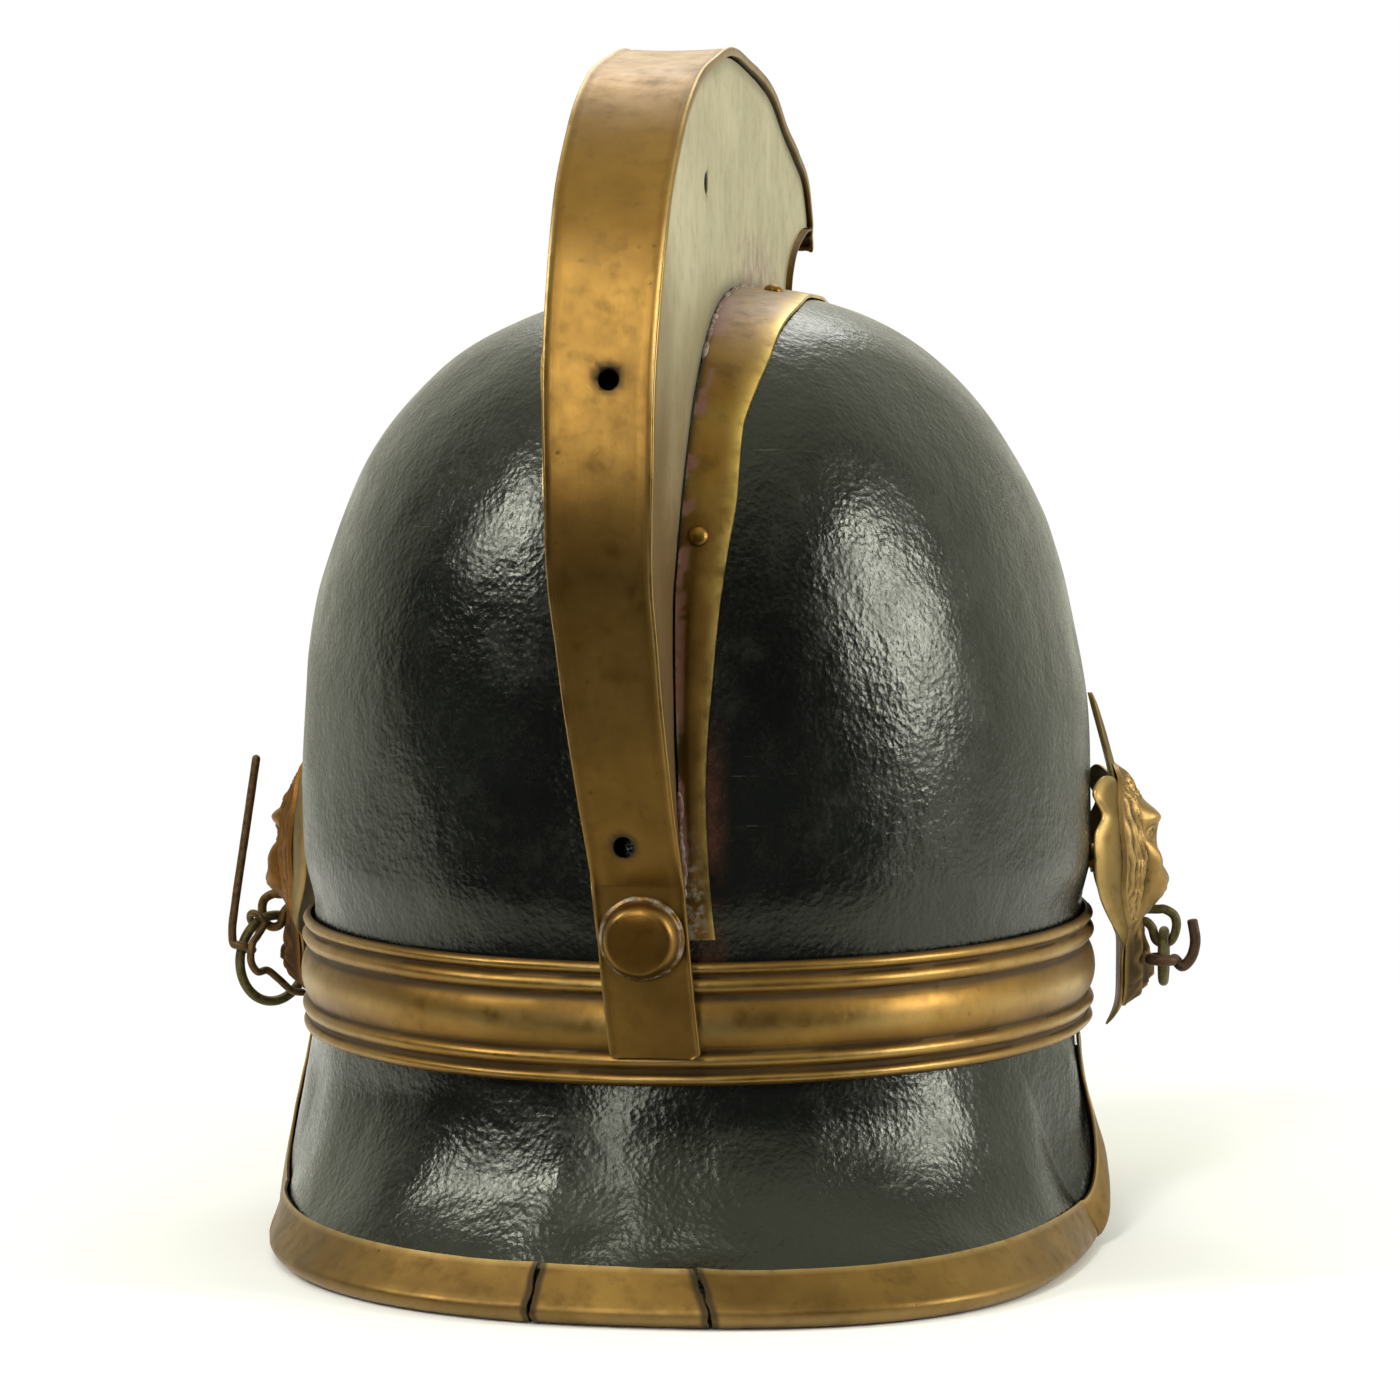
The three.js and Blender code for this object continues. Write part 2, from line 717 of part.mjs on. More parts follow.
// A U-shaped brass strip folded over the free edge, and worn flat where it stands
function flareTrim(flare) {
  const columns = aroundFlare;
  const rings = [];
  const inner = trimGap;
  const outer = trimGap + trimSheet;
  const outline = [
    [1, outer], [0, outer], [0, -leather - outer], [1, -leather - outer],
    [1, -leather - inner], [0, -leather - inner], [0, inner], [1, inner],
  ];
  const fold = trimGap + trimFold;
  const pastEdge = (corner) => [0, fold, fold, 0, 0, inner, inner, 0][corner];
  for (let i = 0; i <= columns; i++) {
    const along = mix(-flareEndShare, flareEndShare, i / columns);
    rings.push(
      outline.map(([share, out], corner) => {
        const down = mix(1, trimLine(flare, along), share);
        const point = flarePoint(flare, along, down);
        const below = flarePoint(flare, along, 1).sub(flarePoint(flare, along, 0.97)).normalize();
        const normal = flareNormal(flare, along, down);
        return point.addScaledVector(normal, out).addScaledVector(below, pastEdge(corner));
      }),
    );
  }
  const flat = outline.map(([share, out], i) => new THREE.Vector2(share * trimDepth - pastEdge(i), out));
  const ground = new THREE.BoxGeometry(4 * halfLength, 4 * halfLength, skullTopZ);
  const underBand = ground.clone().translate(0, 0, bandBottomZ - clearance + skullTopZ / 2);
  ground.translate(0, 0, -skullTopZ / 2);
  return cut(loft(rings, flat), ground, underBand);
}

// Side bosses. A place on one is along (to the back), up, and out from the plate's middle.
function onBoss(side, along, up, out) {
  const toe = radians(bossToe);
  const rearward = vector(side * Math.sin(toe), Math.cos(toe), 0);
  const outward = vector(side * Math.cos(toe), -Math.sin(toe), 0);
  const middle = vector(side * bossStand, bossY, bossZ);
  return middle.addScaledVector(rearward, along).addScaledVector(outward, out).add(vector(0, 0, up));
}

const bossOut = (side) => vector(side * Math.cos(radians(bossToe)), -Math.sin(radians(bossToe)), 0);

// The plate's outline, from its upper spike down one side: shares of its half width, and of its
// height over or under the middle
const plateShares = [
  [0, 1], [0.1, 0.8], [0.2, 0.6], [0.36, 0.5], [0.7, 0.53], [0.9, 0.44], [0.84, 0.31], [0.97, 0.2],
  [1, 0], [0.92, -0.18], [0.76, -0.33], [0.54, -0.45], [0.34, -0.53], [0.29, -0.62], [0.28, -0.8],
  [0.16, -0.93], [0, -1],
];

function plateOutline() {
  const right = plateShares.map(([along, up]) => [along * plateHalf, up * (up > 0 ? plateTop : plateBottom)]);
  const left = right.slice(1, -1).reverse().map(([along, up]) => [-along, up]);
  return [...right, ...left];
}

// How far the plate's face bends back from its middle
const bendShares = [[-1, 0.62], [-0.5, 0.27], [-0.2, 0.03], [0.1, 0], [0.5, 0.45], [1, 1.06]];
const bendCurve = new THREE.SplineCurve(bendShares.map(([up, back]) => new THREE.Vector2(up, back)));

function plateFace(along, up) {
  const height = up > 0 ? up / plateTop : up / plateBottom;
  let share = 0.5;
  for (let step = 0.25; step > 1e-4; step /= 2) {
    share += bendCurve.getPoint(share).x < height ? step : -step;
  }
  const lean = bendCurve.getPoint(share).y * plateCamber * 1.28;
  return -lean - plateCamber * (along / plateHalf) ** 2;
}

function ringsOnBoss(side, outline, ringCount, face) {
  const rows = [];
  for (let j = 0; j <= ringCount; j++) {
    const share = j / ringCount;
    rows.push(outline.map(([along, up]) => face(side, along * share, up * share, share)));
  }
  return rows;
}

function bossSlab(side, front, back) {
  const face = (lift) => (s, along, up) => onBoss(s, along, up, plateFace(along, up) + lift);
  return thickSheet(
    ringsOnBoss(side, plateOutline(), 3, face(front)),
    ringsOnBoss(side, plateOutline(), 3, face(back)),
    true,
  );
}

const bossHole = (side, radius) => drill(onBoss(side, 0, 0, 0), bossOut(side), radius, 8 * overrun);

// The lion's face, as soft bumps and hollows: along, up, spread along, spread up, and height
const faceShares = [
  [0, 0.42, 0.1, 0.26, 0.3], [0, 0, 0.15, 0.11, 0.42], [0.22, -0.17, 0.18, 0.12, 0.26], [0.3, 0.52, 0.2, 0.1, 0.3],
  [0.36, 0.31, 0.12, 0.075, -0.26], [0.37, 0.31, 0.06, 0.045, 0.12], [0.5, 0.02, 0.2, 0.2, 0.14],
  [0, -0.33, 0.3, 0.06, -0.26], [0, -0.47, 0.2, 0.07, 0.12], [0.1, 0.82, 0.3, 0.12, -0.1],
];
const noseUp = -6;

function headFace(along, up, rim) {
  const dome = 0.52 * (1 - rim ** 3.2);
  let rise = dome;
  for (const [middle, level, spreadAlong, spreadUp, height] of faceShares) {
    for (const side of middle === 0 ? [0] : [-1, 1]) {
      const a = (along / headHalf - side * middle) / spreadAlong;
      const u = ((up - noseUp) / (headTop - noseUp) - level) / spreadUp;
      rise += height * Math.exp(-a * a - u * u) * (1 - rim ** 6);
    }
  }
  const mane = 0.045 * Math.sin(14 * Math.atan2(up - noseUp, along)) * Math.sin(Math.PI * rim) ** 2;
  const beard = up < -beardDrop ? 0.04 * Math.cos((along / headHalf) * 18) * (1 - rim ** 3) : 0;
  return headRise * (rise + mane + beard);
}

// The head's footprint, down one side: shares of its half width and of its height or drop
const headShares = [
  [0, 1], [0.45, 0.97], [0.78, 0.78], [0.97, 0.45], [1, 0.05], [0.97, -0.2], [0.8, -0.38], [0.56, -0.5],
  [0.47, -0.68], [0.42, -0.86], [0.24, -0.98], [0, -1],
];

function headOutline() {
  const right = headShares.map(([along, up]) => [along * headHalf, up * (up > 0 ? headTop : headBottom)]);
  const points = [...right, ...right.slice(1, -1).reverse().map(([along, up]) => [-along, up])];
  const curve = new THREE.CatmullRomCurve3(points.map(([a, u]) => vector(a, u, 0)), true);
  return curve.getPoints(26).slice(0, -1).map(({ x, y }) => [x, y]);
}

function lionHead(side) {
  const front = (s, along, up, rim) =>
    onBoss(s, along, up, plateFace(along, up) + headFace(along, up, rim) + headEdge);
  const back = (s, along, up) => onBoss(s, along, up, plateFace(along, up) + clearance);
  const outline = headOutline();
  const rings = 7;
  const [faceRows, backRows] = [front, back].map((face) => ringsOnBoss(side, outline, rings, face));
  const head = thickSheet(faceRows, backRows, true);
  return cut(head, eyeBody(side, eyeWire + clearance));
}

// Wire along a curve, with round section
function wire(points, radius, closed = false, steps = 40, sides = 6) {
  const curve = new THREE.CatmullRomCurve3(points, closed);
  const shape = new THREE.Shape();
  for (let i = 0; i < sides; i++) {
    const angle = (2 * Math.PI * i) / sides;
    const place = [radius * Math.cos(angle), radius * Math.sin(angle)];
    if (i === 0) shape.moveTo(...place);
    else shape.lineTo(...place);
  }
  shape.closePath();
  const path = { steps, extrudePath: curve, bevelEnabled: false, curveSegments: 1 };
  const tube = new THREE.ExtrudeGeometry(shape, path);
  tube.deleteAttribute("normal");
  tube.deleteAttribute("uv");
  return mergeVertices(tube, 1e-4);
}

// A round ring of wire: lathed, with its axis along a direction
function wireRing(middle, axis, radius, wireRadius) {
  const section = [];
  const sides = 6;
  for (let i = 0; i <= sides; i++) {
    const angle = (2 * Math.PI * i) / sides;
    section.push([radius + wireRadius * Math.cos(angle), wireRadius * Math.sin(angle)]);
  }
  section[sides] = section[0];
  return placed(turned(section, 20), middle, axis);
}

// The staple in the lion's mouth: two legs run into the head, and its bar hangs below the mouth.
// Shares of its half width outward, and of its height downward
const eyeShares = [
  [-2.03, 0], [-0.47, 0], [0, 0], [0.8, 0.18], [1, 0.49], [0.6, 0.91], [0, 1], [-0.6, 0.91], [-1, 0.52],
  [-1.5, 0.36], [-2.03, 0.39],
];

function eyeBody(side, radius) {
  const points = eyeShares.map(([out, down]) =>
    onBoss(side, 0, -mix(eyeTop, eyeDrop, down), eyeStand + eyeHalf * out),
  );
  return wire(points, radius, false, 22);
}

const eyeBar = (side) => onBoss(side, 0, -eyeDrop, eyeStand);

// The left ring hangs on the bar, turned a little from the helmet's side
const leftRingAlong = vector(0.6, 0.8, 0);
const leftRingAxis = vector(0.8, -0.6, 0);
const ringHang = eyeWire + ringWire + 2 * clearance;
const leftRingMiddle = eyeBar(1).add(vector(0, 0, ringHang - leftRingRadius));
const rightRingAxis = vector(1, 0, 0);
const rightRingMiddle = eyeBar(-1).add(vector(0, 0, ringHang - rightRingRadius));

// A place on the left ring's wire, and the wire's direction there, at an angle from its outer side
function onLeftRing(degrees) {
  const [across, up] = [Math.cos(radians(degrees)), Math.sin(radians(degrees))];
  const out = leftRingAlong.clone().multiplyScalar(across).add(vector(0, 0, up));
  return {
    place: leftRingMiddle.clone().addScaledVector(out, leftRingRadius),
    along: leftRingAlong.clone().multiplyScalar(-up).add(vector(0, 0, across)),
    out,
  };
}

const hookSeat = onLeftRing(20);
const linkSeat = onLeftRing(62);
const jHookSeat = rightRingMiddle.clone().add(vector(0, rightRingRadius, 0));

// A loop round a ring's wire: it starts away from where the hook leaves it
function loopRound({ place, along, out }, radius, from, to) {
  const aside = along.clone().cross(out);
  const points = [];
  for (let i = 0; i <= loopSteps; i++) {
    const angle = radians(mix(from, to, i / loopSteps));
    const point = place.clone().addScaledVector(out, radius * Math.cos(angle));
    points.push(point.addScaledVector(aside, radius * Math.sin(angle)));
  }
  return points;
}

const hookLoop = ringWire + hookPlay + hookWire;
const linkLoop = ringWire + hookPlay + linkWire;
const jHookLoop = ringWire + hookPlay + jHookWire;

const hookLoopTurns = [230, 0]; // degrees round the ring's wire, from the free end
const wireLoopTurns = [-170, 90];
const loopSteps = 8;
const hookShares = [[0.07, 0.9], [0.2, 1], [0.6, 0.5], [1, 0]];

function leftHook() {
  const loop = loopRound(hookSeat, hookLoop, ...hookLoopTurns);
  const foot = loop.at(-1);
  const tip = foot.clone().add(vector(-hookLean, 0, hookHeight));
  const shank = hookShares.map(([up, out]) => foot.clone().lerp(tip, up).add(vector(hookBow * out, 0, 0)));
  return wire([...loop, ...shank], hookWire);
}

// The link's route past its loop: shares of the ring's radius outward, up, and behind the ring
const linkShares = [
  [0.74, 0.62, 0.33], [1.01, 0.46, 0.47], [1.08, 0.08, 0.5], [0.84, -0.2, 0.44], [0.48, -0.21, 0.35],
  [0.12, -0.44, 0.31], [-0.3, -0.76, 0.31], [-0.68, -0.84, 0.32],
];

function leftLink() {
  const loop = loopRound(linkSeat, linkLoop, ...wireLoopTurns);
  const behind = leftRingAxis.clone().negate();
  const path = linkShares.map(([out, up, back]) =>
    leftRingMiddle
      .clone()
      .addScaledVector(leftRingAlong, leftRingRadius * out)
      .addScaledVector(behind, leftRingRadius * back)
      .add(vector(0, 0, leftRingRadius * up)),
  );
  return wire([...loop, ...path], linkWire, false, 44);
}

const jHookShares = [[0.35, -0.16], [0.75, 0.02], [0.98, 0.42], [0.82, 1]];

function rightHook() {
  const seat = { place: jHookSeat, along: vector(0, 0, 1), out: vector(0, 1, 0) };
  const loop = loopRound(seat, jHookLoop, ...wireLoopTurns);
  const end = loop.at(-1);
  const reach = (out, up) => end.clone().add(vector(-jHookReach * out, 0, jHookTip * up));
  const path = jHookShares.map(([out, up]) => reach(out, up));
  return wire([...loop, ...path], jHookWire, false, 32);
}

// Boss studs: a collar between the skull and the plate, and a shank through the skull to a nut
function bossFoot(side) {
  const reach = skullRadii(bossZ)[0] * Math.sqrt(1 - (bossY / skullHalfDepth) ** 2);
  return bossStand / Math.cos(radians(bossToe)) - reach / Math.cos(radians(bossToe));
}

function bossStud(side) {
  const gap = bossFoot(side);
  const inside = gap + skullWall + 2 * clearance + nutHeight + clearance;
  const profile = [
    [0, -inside - clearance],
    [bossStudRadius, -inside - clearance],
    [bossStudRadius, -gap + 2 * clearance],
    [bossCollarRadius * 0.6, -gap + 2 * clearance],
    [bossCollarRadius, -gap / 2],
    [bossCollarRadius, -plateSheet - 3 * clearance],
    [0, -plateSheet - 3 * clearance],
  ];
  return placed(turned(profile, 12), onBoss(side, 0, 0, 0), bossOut(side));
}

function bossNutPlace(side) {
  const depth = bossFoot(side) + skullWall + 4 * clearance + nutHeight / 2;
  return onBoss(side, 0, 0, -depth);
}

// Lining: a sweatband inside the rim, and a leather liner cut into tongues
function ovalRow(halfWidth, halfDepth, z) {
  const row = [];
  for (let i = 0; i < aroundLining; i++) {
    const angle = (2 * Math.PI * i) / aroundLining;
    row.push(vector(halfWidth * Math.cos(angle), halfDepth * Math.sin(angle), z));
  }
  return row;
}

const liningWidth = rimHalfWidth - skullWall - liningGap;
const liningDepth = rimHalfDepth - skullWall - liningGap;

function sweatband() {
  const layer = (inset) =>
    [skullRimZ, sweatbandTopZ].map((z) => ovalRow(liningWidth - inset, liningDepth - inset, z));
  return thickSheet(layer(0), layer(sweatbandSheet), true);
}

function liner() {
  const outerInset = sweatbandSheet + clearance;
  const rows = 5;
  const layer = (inset) => {
    const grid = [ovalRow(liningWidth - inset, liningDepth - inset, skullRimZ + clearance)];
    for (let j = 0; j <= rows; j++) {
      const share = Math.sin((Math.PI / 2) * (j / rows) * 0.93);
      const scale = Math.cos((Math.PI / 2) * (j / rows) * 0.93) ** 0.85;
      const z = mix(linerSpringZ, linerTopZ - inset, share);
      const width = Math.max(linerHoleRadius, (liningWidth - inset) * scale);
      const depth = Math.max(linerHoleRadius, (liningDepth - inset) * scale);
      grid.push(ovalRow(width, depth, z));
    }
    return grid;
  };
  const slots = [];
  for (let k = 0; k < tongueCount / 2; k++) {
    const slot = new THREE.BoxGeometry(4 * halfLength, tongueGap, 2 * linerTopZ);
    slot.rotateZ((Math.PI * (k + 0.5)) / (tongueCount / 2));
    slot.translate(0, 0, linerSpringZ + tongueGap + linerTopZ);
    slots.push(slot);
  }
  return cut(thickSheet(layer(outerInset), layer(outerInset + linerSheet), true), ...slots);
}

// Assembly
const sides = [["left", 1], ["right", -1]];

const skullHoles = [knobBore()];
for (const [, side] of sides) {
  skullHoles.push(bossHole(side, bossStudRadius + clearance));
  for (const turn of rivetTurns) {
    skullHoles.push(drill(rivetSeat(side, turn), rivetAxis(side, turn), rivetBore, 6 * overrun));
  }
}
addPiece("skull_shell", cut(thickSheet(domeRows(0), domeRows(skullWall), true), ...skullHoles), blackHide);
addPiece("neck_guard", flareBody(flares.guard), blackHide);
addPiece("front_peak", flareBody(flares.peak), blackHide);
addPiece("neck_guard_trim", flareTrim(flares.guard), agedBrass);
addPiece("front_peak_trim", flareTrim(flares.peak), agedBrass);
addPiece("browband_rear", browband(true), agedBrass);
addPiece("browband_front", browband(false), agedBrass);

const lowerVent = ventHole(lowerVentTurn, ventOffset);
const upperVent = ventHole(upperVentTurn, -ventOffset);
addPiece("comb_crown_strip", cut(crownStrip(), knobBore(), lowerVent, upperVent), agedBrass);
addPiece("comb_front_plate", combFrontPlate(), agedBrass);
addPiece("comb_knob", combKnob(), agedBrass);
const knobNut = knobFace.clone().addScaledVector(knobAxis, -knobNutDepth - nutHeight / 2);
addPiece("comb_knob_nut", hexNut(knobNut, knobAxis, studBore), iron);

for (const [name, side] of sides) {
  addPiece("comb_wall_" + name, combWall(side), paleBrass);
  addPiece("comb_foot_" + name, combFoot(side), agedBrass);
  rivetTurns.forEach((turn, i) => addPiece(`comb_rivet_${name}_${i + 1}`, combRivet(side, turn), agedBrass));
  addPiece("boss_plate_" + name, bossSlab(side, 0, -plateSheet), bossBrass);
  addPiece("lion_head_" + name, lionHead(side), bossBrass);
  addPiece("boss_stud_" + name, bossStud(side), agedBrass);
  addPiece("boss_nut_" + name, hexNut(bossNutPlace(side), bossOut(side), bossStudRadius + clearance), iron);
  addPiece("mouth_eye_" + name, eyeBody(side, eyeWire), iron);
}

addPiece("left_ring", wireRing(leftRingMiddle, leftRingAxis, leftRingRadius, ringWire), iron);
addPiece("left_hook", leftHook(), iron);
addPiece("left_link", leftLink(), iron);
addPiece("right_ring", wireRing(rightRingMiddle, rightRingAxis, rightRingRadius, ringWire), iron);
addPiece("right_hook", rightHook(), iron);
addPiece("sweatband", sweatband(), brownHide);
addPiece("liner", liner(), brownHide);

// The helmet stands over the middle of the space that it takes up
const bounds = new THREE.Box3().setFromObject(helmet);
const centre = bounds.getCenter(vector());
helmet.position.set(-centre.x, -centre.y, -bounds.min.z);

export default helmet;
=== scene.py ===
import bmesh
import bpy
import math
import numpy as np
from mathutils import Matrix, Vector, noise


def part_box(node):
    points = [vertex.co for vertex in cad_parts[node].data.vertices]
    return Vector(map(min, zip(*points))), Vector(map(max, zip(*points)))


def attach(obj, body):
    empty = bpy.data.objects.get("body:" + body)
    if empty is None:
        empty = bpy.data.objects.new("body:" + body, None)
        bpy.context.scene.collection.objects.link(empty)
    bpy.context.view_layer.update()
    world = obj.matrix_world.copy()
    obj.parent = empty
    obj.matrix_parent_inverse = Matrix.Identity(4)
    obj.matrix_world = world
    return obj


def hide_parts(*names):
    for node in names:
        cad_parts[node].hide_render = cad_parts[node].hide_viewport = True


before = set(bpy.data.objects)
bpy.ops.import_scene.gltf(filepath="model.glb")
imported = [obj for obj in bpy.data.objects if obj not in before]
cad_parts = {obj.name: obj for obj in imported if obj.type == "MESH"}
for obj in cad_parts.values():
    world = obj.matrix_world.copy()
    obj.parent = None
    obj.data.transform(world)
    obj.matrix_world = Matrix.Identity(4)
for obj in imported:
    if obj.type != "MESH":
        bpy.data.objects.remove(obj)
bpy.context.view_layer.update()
mm = 0.001

# The helmet's middle: sizes below are millimetres from it, front towards -Y
skullLow, skullHigh = (np.array(corner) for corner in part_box("skull_shell"))
helmetMiddle = (skullLow + skullHigh) / 2
helmetMiddle[2] = 0


# Camera, light and floor

studio = {
    "cameraPlace": (-168.5, 1127.5, 211.0),  # behind the helmet and a little to its right
    "aimHeight": 130.9,
    "lensMm": 115.2,
    "sensorMm": 36,
    "roomShade": "#f1f2dc",  # the room as light; the background itself is seen white
    "roomLevels": (0.035, 1.1, 1.0),  # how bright the room is behind the camera, overhead and behind the helmet
    "backdropTurn": (0.1, -0.5),  # ways along Y where the bright wall begins and is full
    "ceilingTurn": (0.45, 0.95),  # the same for the ceiling, upwards
    "lampAim": (0, 0, 0.14),
    "floorShade": "#f4f4f2",
    "floorHalf": 4.0,
    "floorDrop": 0.0004,
    "floorFade": (0.16, 0.5),  # metres from the middle where the seen floor starts and ends turning white
    "floorFront": (0.12, 0.3),  # metres towards the camera where the floor darkens in reflections
    "softboxes": [
        # place in metres, width, height, watts
        ((0.98, 0.54, 0.90), 0.24, 0.40, 7.5),
        ((-1.20, 0.13, 0.52), 0.22, 0.60, 9.0),
        ((0.12, 1.00, 0.68), 0.15, 1.10, 6.4),
        ((0.1, -1.0, 1.1), 0.8, 0.6, 5.0),
    ],
}


def linearTone(code):
    shares = [int(code[i:i + 2], 16) / 255 for i in (1, 3, 5)]
    return [s / 12.92 if s <= 0.04045 else ((s + 0.055) / 1.055) ** 2.4 for s in shares] + [1]


def addNode(tree, kind, inputs=None, **settings):
    node = tree.nodes.new(kind)
    for key, value in settings.items():
        setattr(node, key, value)
    for key, value in (inputs or {}).items():
        if isinstance(value, bpy.types.NodeSocket):
            tree.links.new(value, node.inputs[key])
        else:
            node.inputs[key].default_value = value
    return node


def ramp(tree, value, low, high, toLow=0.0, toHigh=1.0, kind="LINEAR"):
    return addNode(tree, "ShaderNodeMapRange", {"Value": value, "From Min": low, "From Max": high, "To Min": toLow,
                                                "To Max": toHigh}, interpolation_type=kind).outputs[0]


def math2(tree, kind, a, b):
    return addNode(tree, "ShaderNodeMath", {0: a, 1: b}, operation=kind).outputs[0]


def times(tree, a, b):
    return math2(tree, "MULTIPLY", a, b)


def plus(tree, a, b):
    return math2(tree, "ADD", a, b)


def minus(tree, a, b):
    return math2(tree, "SUBTRACT", a, b)


def mixShaders(tree, share, under, over):
    return addNode(tree, "ShaderNodeMixShader", {0: share, 1: under.outputs[0], 2: over.outputs[0]})


def emptyTree(owner):
    owner.use_nodes = True
    owner.node_tree.nodes.clear()
    return owner.node_tree


def startMaterial(name):
    material = bpy.data.materials.new(name)
    tree = emptyTree(material)
    return material, tree, addNode(tree, "ShaderNodeTexCoord").outputs["Object"]


def placeObject(name, data):
    item = bpy.data.objects.new(name, data)
    bpy.context.collection.objects.link(item)
    return item


def aim(item, target):
    item.rotation_euler = (Vector(target) - item.location).to_track_quat("-Z", "Y").to_euler()


def setUpCamera():
    cameraData = bpy.data.cameras.new("helmetCamera")
    cameraData.sensor_width = studio["sensorMm"]
    cameraData.lens = studio["lensMm"]
    camera = placeObject("helmetCamera", cameraData)
    camera.location = Vector(studio["cameraPlace"]) * mm + Vector(helmetMiddle)
    aim(camera, Vector((0, 0, studio["aimHeight"])) * mm + Vector(helmetMiddle))
    bpy.context.scene.camera = camera
    bpy.context.scene.view_settings.view_transform = "Standard"


def setUpRoom():
    # Light from the ceiling and from the wall behind the helmet. The camera itself sees plain white.
    world = bpy.data.worlds.new("studioWorld")
    bpy.context.scene.world = world
    tree = emptyTree(world)
    rays = addNode(tree, "ShaderNodeLightPath").outputs
    way = addNode(tree, "ShaderNodeSeparateXYZ", {0: addNode(tree, "ShaderNodeTexCoord").outputs["Generated"]})
    dark, above, behind = studio["roomLevels"]
    backdrop = ramp(tree, way.outputs["Y"], *studio["backdropTurn"], dark, behind, "SMOOTHSTEP")
    ceiling = ramp(tree, way.outputs["Z"], *studio["ceilingTurn"], 0.0, above, "SMOOTHSTEP")
    level = math2(tree, "MAXIMUM", backdrop, ceiling)
    light = addNode(tree, "ShaderNodeBackground", {"Color": linearTone(studio["roomShade"]), "Strength": level})
    plain = addNode(tree, "ShaderNodeBackground", {"Color": linearTone("#ffffff"), "Strength": 1.0})
    seen = mixShaders(tree, rays["Is Camera Ray"], light, plain)
    addNode(tree, "ShaderNodeOutputWorld", {"Surface": seen.outputs[0]})


def setUpLamps():
    for i, (place, width, height, watts) in enumerate(studio["softboxes"]):
        lampData = bpy.data.lights.new(f"softbox{i}", "AREA")
        lampData.shape = "RECTANGLE"
        lampData.size = width
        lampData.size_y = height
        lampData.energy = watts
        lamp = placeObject(f"softbox{i}", lampData)
        lamp.location = place
        aim(lamp, studio["lampAim"])


def setUpFloor():
    # A matt floor that fades to white away from the helmet. In reflections its part on the camera's side is dark.
    half = studio["floorHalf"]
    corners = [(-half, -half, 0), (half, -half, 0), (half, half, 0), (-half, half, 0)]
    floorMesh = bpy.data.meshes.new("studioFloor")
    floorMesh.from_pydata(corners, [], [(0, 1, 2, 3)])
    floor = placeObject("studioFloor", floorMesh)
    floor.location.z = -studio["floorDrop"]
    paint, tree, place = startMaterial("studioFloor")
    matt = addNode(tree, "ShaderNodeBsdfDiffuse", {"Color": linearTone(studio["floorShade"])})
    glow, shade = (addNode(tree, "ShaderNodeEmission", {"Color": linearTone("#ffffff"), "Strength": level})
                   for level in (1.0, studio["roomLevels"][0]))
    away = addNode(tree, "ShaderNodeVectorMath", {0: place}, operation="LENGTH").outputs["Value"]
    near = addNode(tree, "ShaderNodeSeparateXYZ", {0: place}).outputs["Y"]
    rays = addNode(tree, "ShaderNodeLightPath").outputs
    fade = times(tree, ramp(tree, away, *studio["floorFade"]), rays["Is Camera Ray"])
    front = times(tree, ramp(tree, near, *studio["floorFront"]), rays["Is Glossy Ray"])
    blend = mixShaders(tree, front, mixShaders(tree, fade, matt, glow), shade)
    addNode(tree, "ShaderNodeOutputMaterial", {"Surface": blend.outputs[0]})
    floorMesh.materials.append(paint)


setUpCamera()
setUpRoom()
setUpLamps()
setUpFloor()
print("studio ready")


# Shapes that the pieces share

skull = {"halfWidth": 100, "halfDepth": 119, "top": 235, "waist": 95, "rim": 52, "tuck": 2.8, "wall": 3,
         "widthPower": 2.55, "depthPower": 2.8}
band = {"bottom": 50, "beads": [2.8, 3.7, 11.8, 4, 2.8], "grooves": [1.1, 0.5, 1.2, 0.7, 0],
        "bulges": [1.3, 1.6, 1.9, 1.6, 1.3], "sheet": 0.6, "floor": 1.6, "splitY": -20, "steps": 220,
        "roundPower": 0.62, "beaten": 0.35, "beatenSize": 18}
boss = {"y": -20, "z": 90, "stand": 107.4, "toe": 8, "top": 42.6, "bottom": 43, "half": 26, "camber": 6.5,
        "bendFrom": 0.42, "rearBend": 1.45, "bowl": 1.28, "sheet": 0.9, "edge": 1.1, "headHalf": 17.5,
        "headTop": 24.5, "headBottom": 38, "stud": 2.5, "collar": 6, "nut": 3.5, "leftSlip": 3.2}
gap = 0.3  # between pieces that touch
bandTop = band["bottom"] + sum(band["beads"]) + sum(band["grooves"])
rimHalfWidth = skull["halfWidth"] - skull["tuck"]
rimHalfDepth = skull["halfDepth"] - skull["tuck"]


def mix(a, b, share):
    return a + (b - a) * share


def smoothStep(value, low, high):
    share = np.clip((value - low) / (high - low), 0, 1)
    return share * share * (3 - 2 * share)


def lumps(points, size, seed=0.0):
    # Soft noise from -1 to 1
    flat = np.asarray(points, float).reshape(-1, 3) / size + seed
    return np.array([noise.noise(Vector(p)) for p in flat]).reshape(np.asarray(points).shape[:-1])


def skullRadii(z, inset=0.0):
    z = np.asarray(z, float)
    fall = np.clip((skull["waist"] - z) / (skull["waist"] - bandTop), 0, 1)
    rise = np.clip((z - skull["waist"]) / (skull["top"] - inset - skull["waist"]), 0, 1)
    drawnIn = skull["tuck"] * fall * fall * (3 - 2 * fall) + inset
    width = (skull["halfWidth"] - drawnIn) * (1 - rise ** skull["widthPower"]) ** (1 / skull["widthPower"])
    depth = (skull["halfDepth"] - drawnIn) * (1 - rise ** skull["depthPower"]) ** (1 / skull["depthPower"])
    return width, depth


def overSkull(turn, radius, x=0.0):
    turn, radius, x = np.broadcast_arrays(np.radians(turn), radius, x)
    return np.stack([x, radius * np.cos(turn), skull["waist"] + radius * np.sin(turn)], -1)


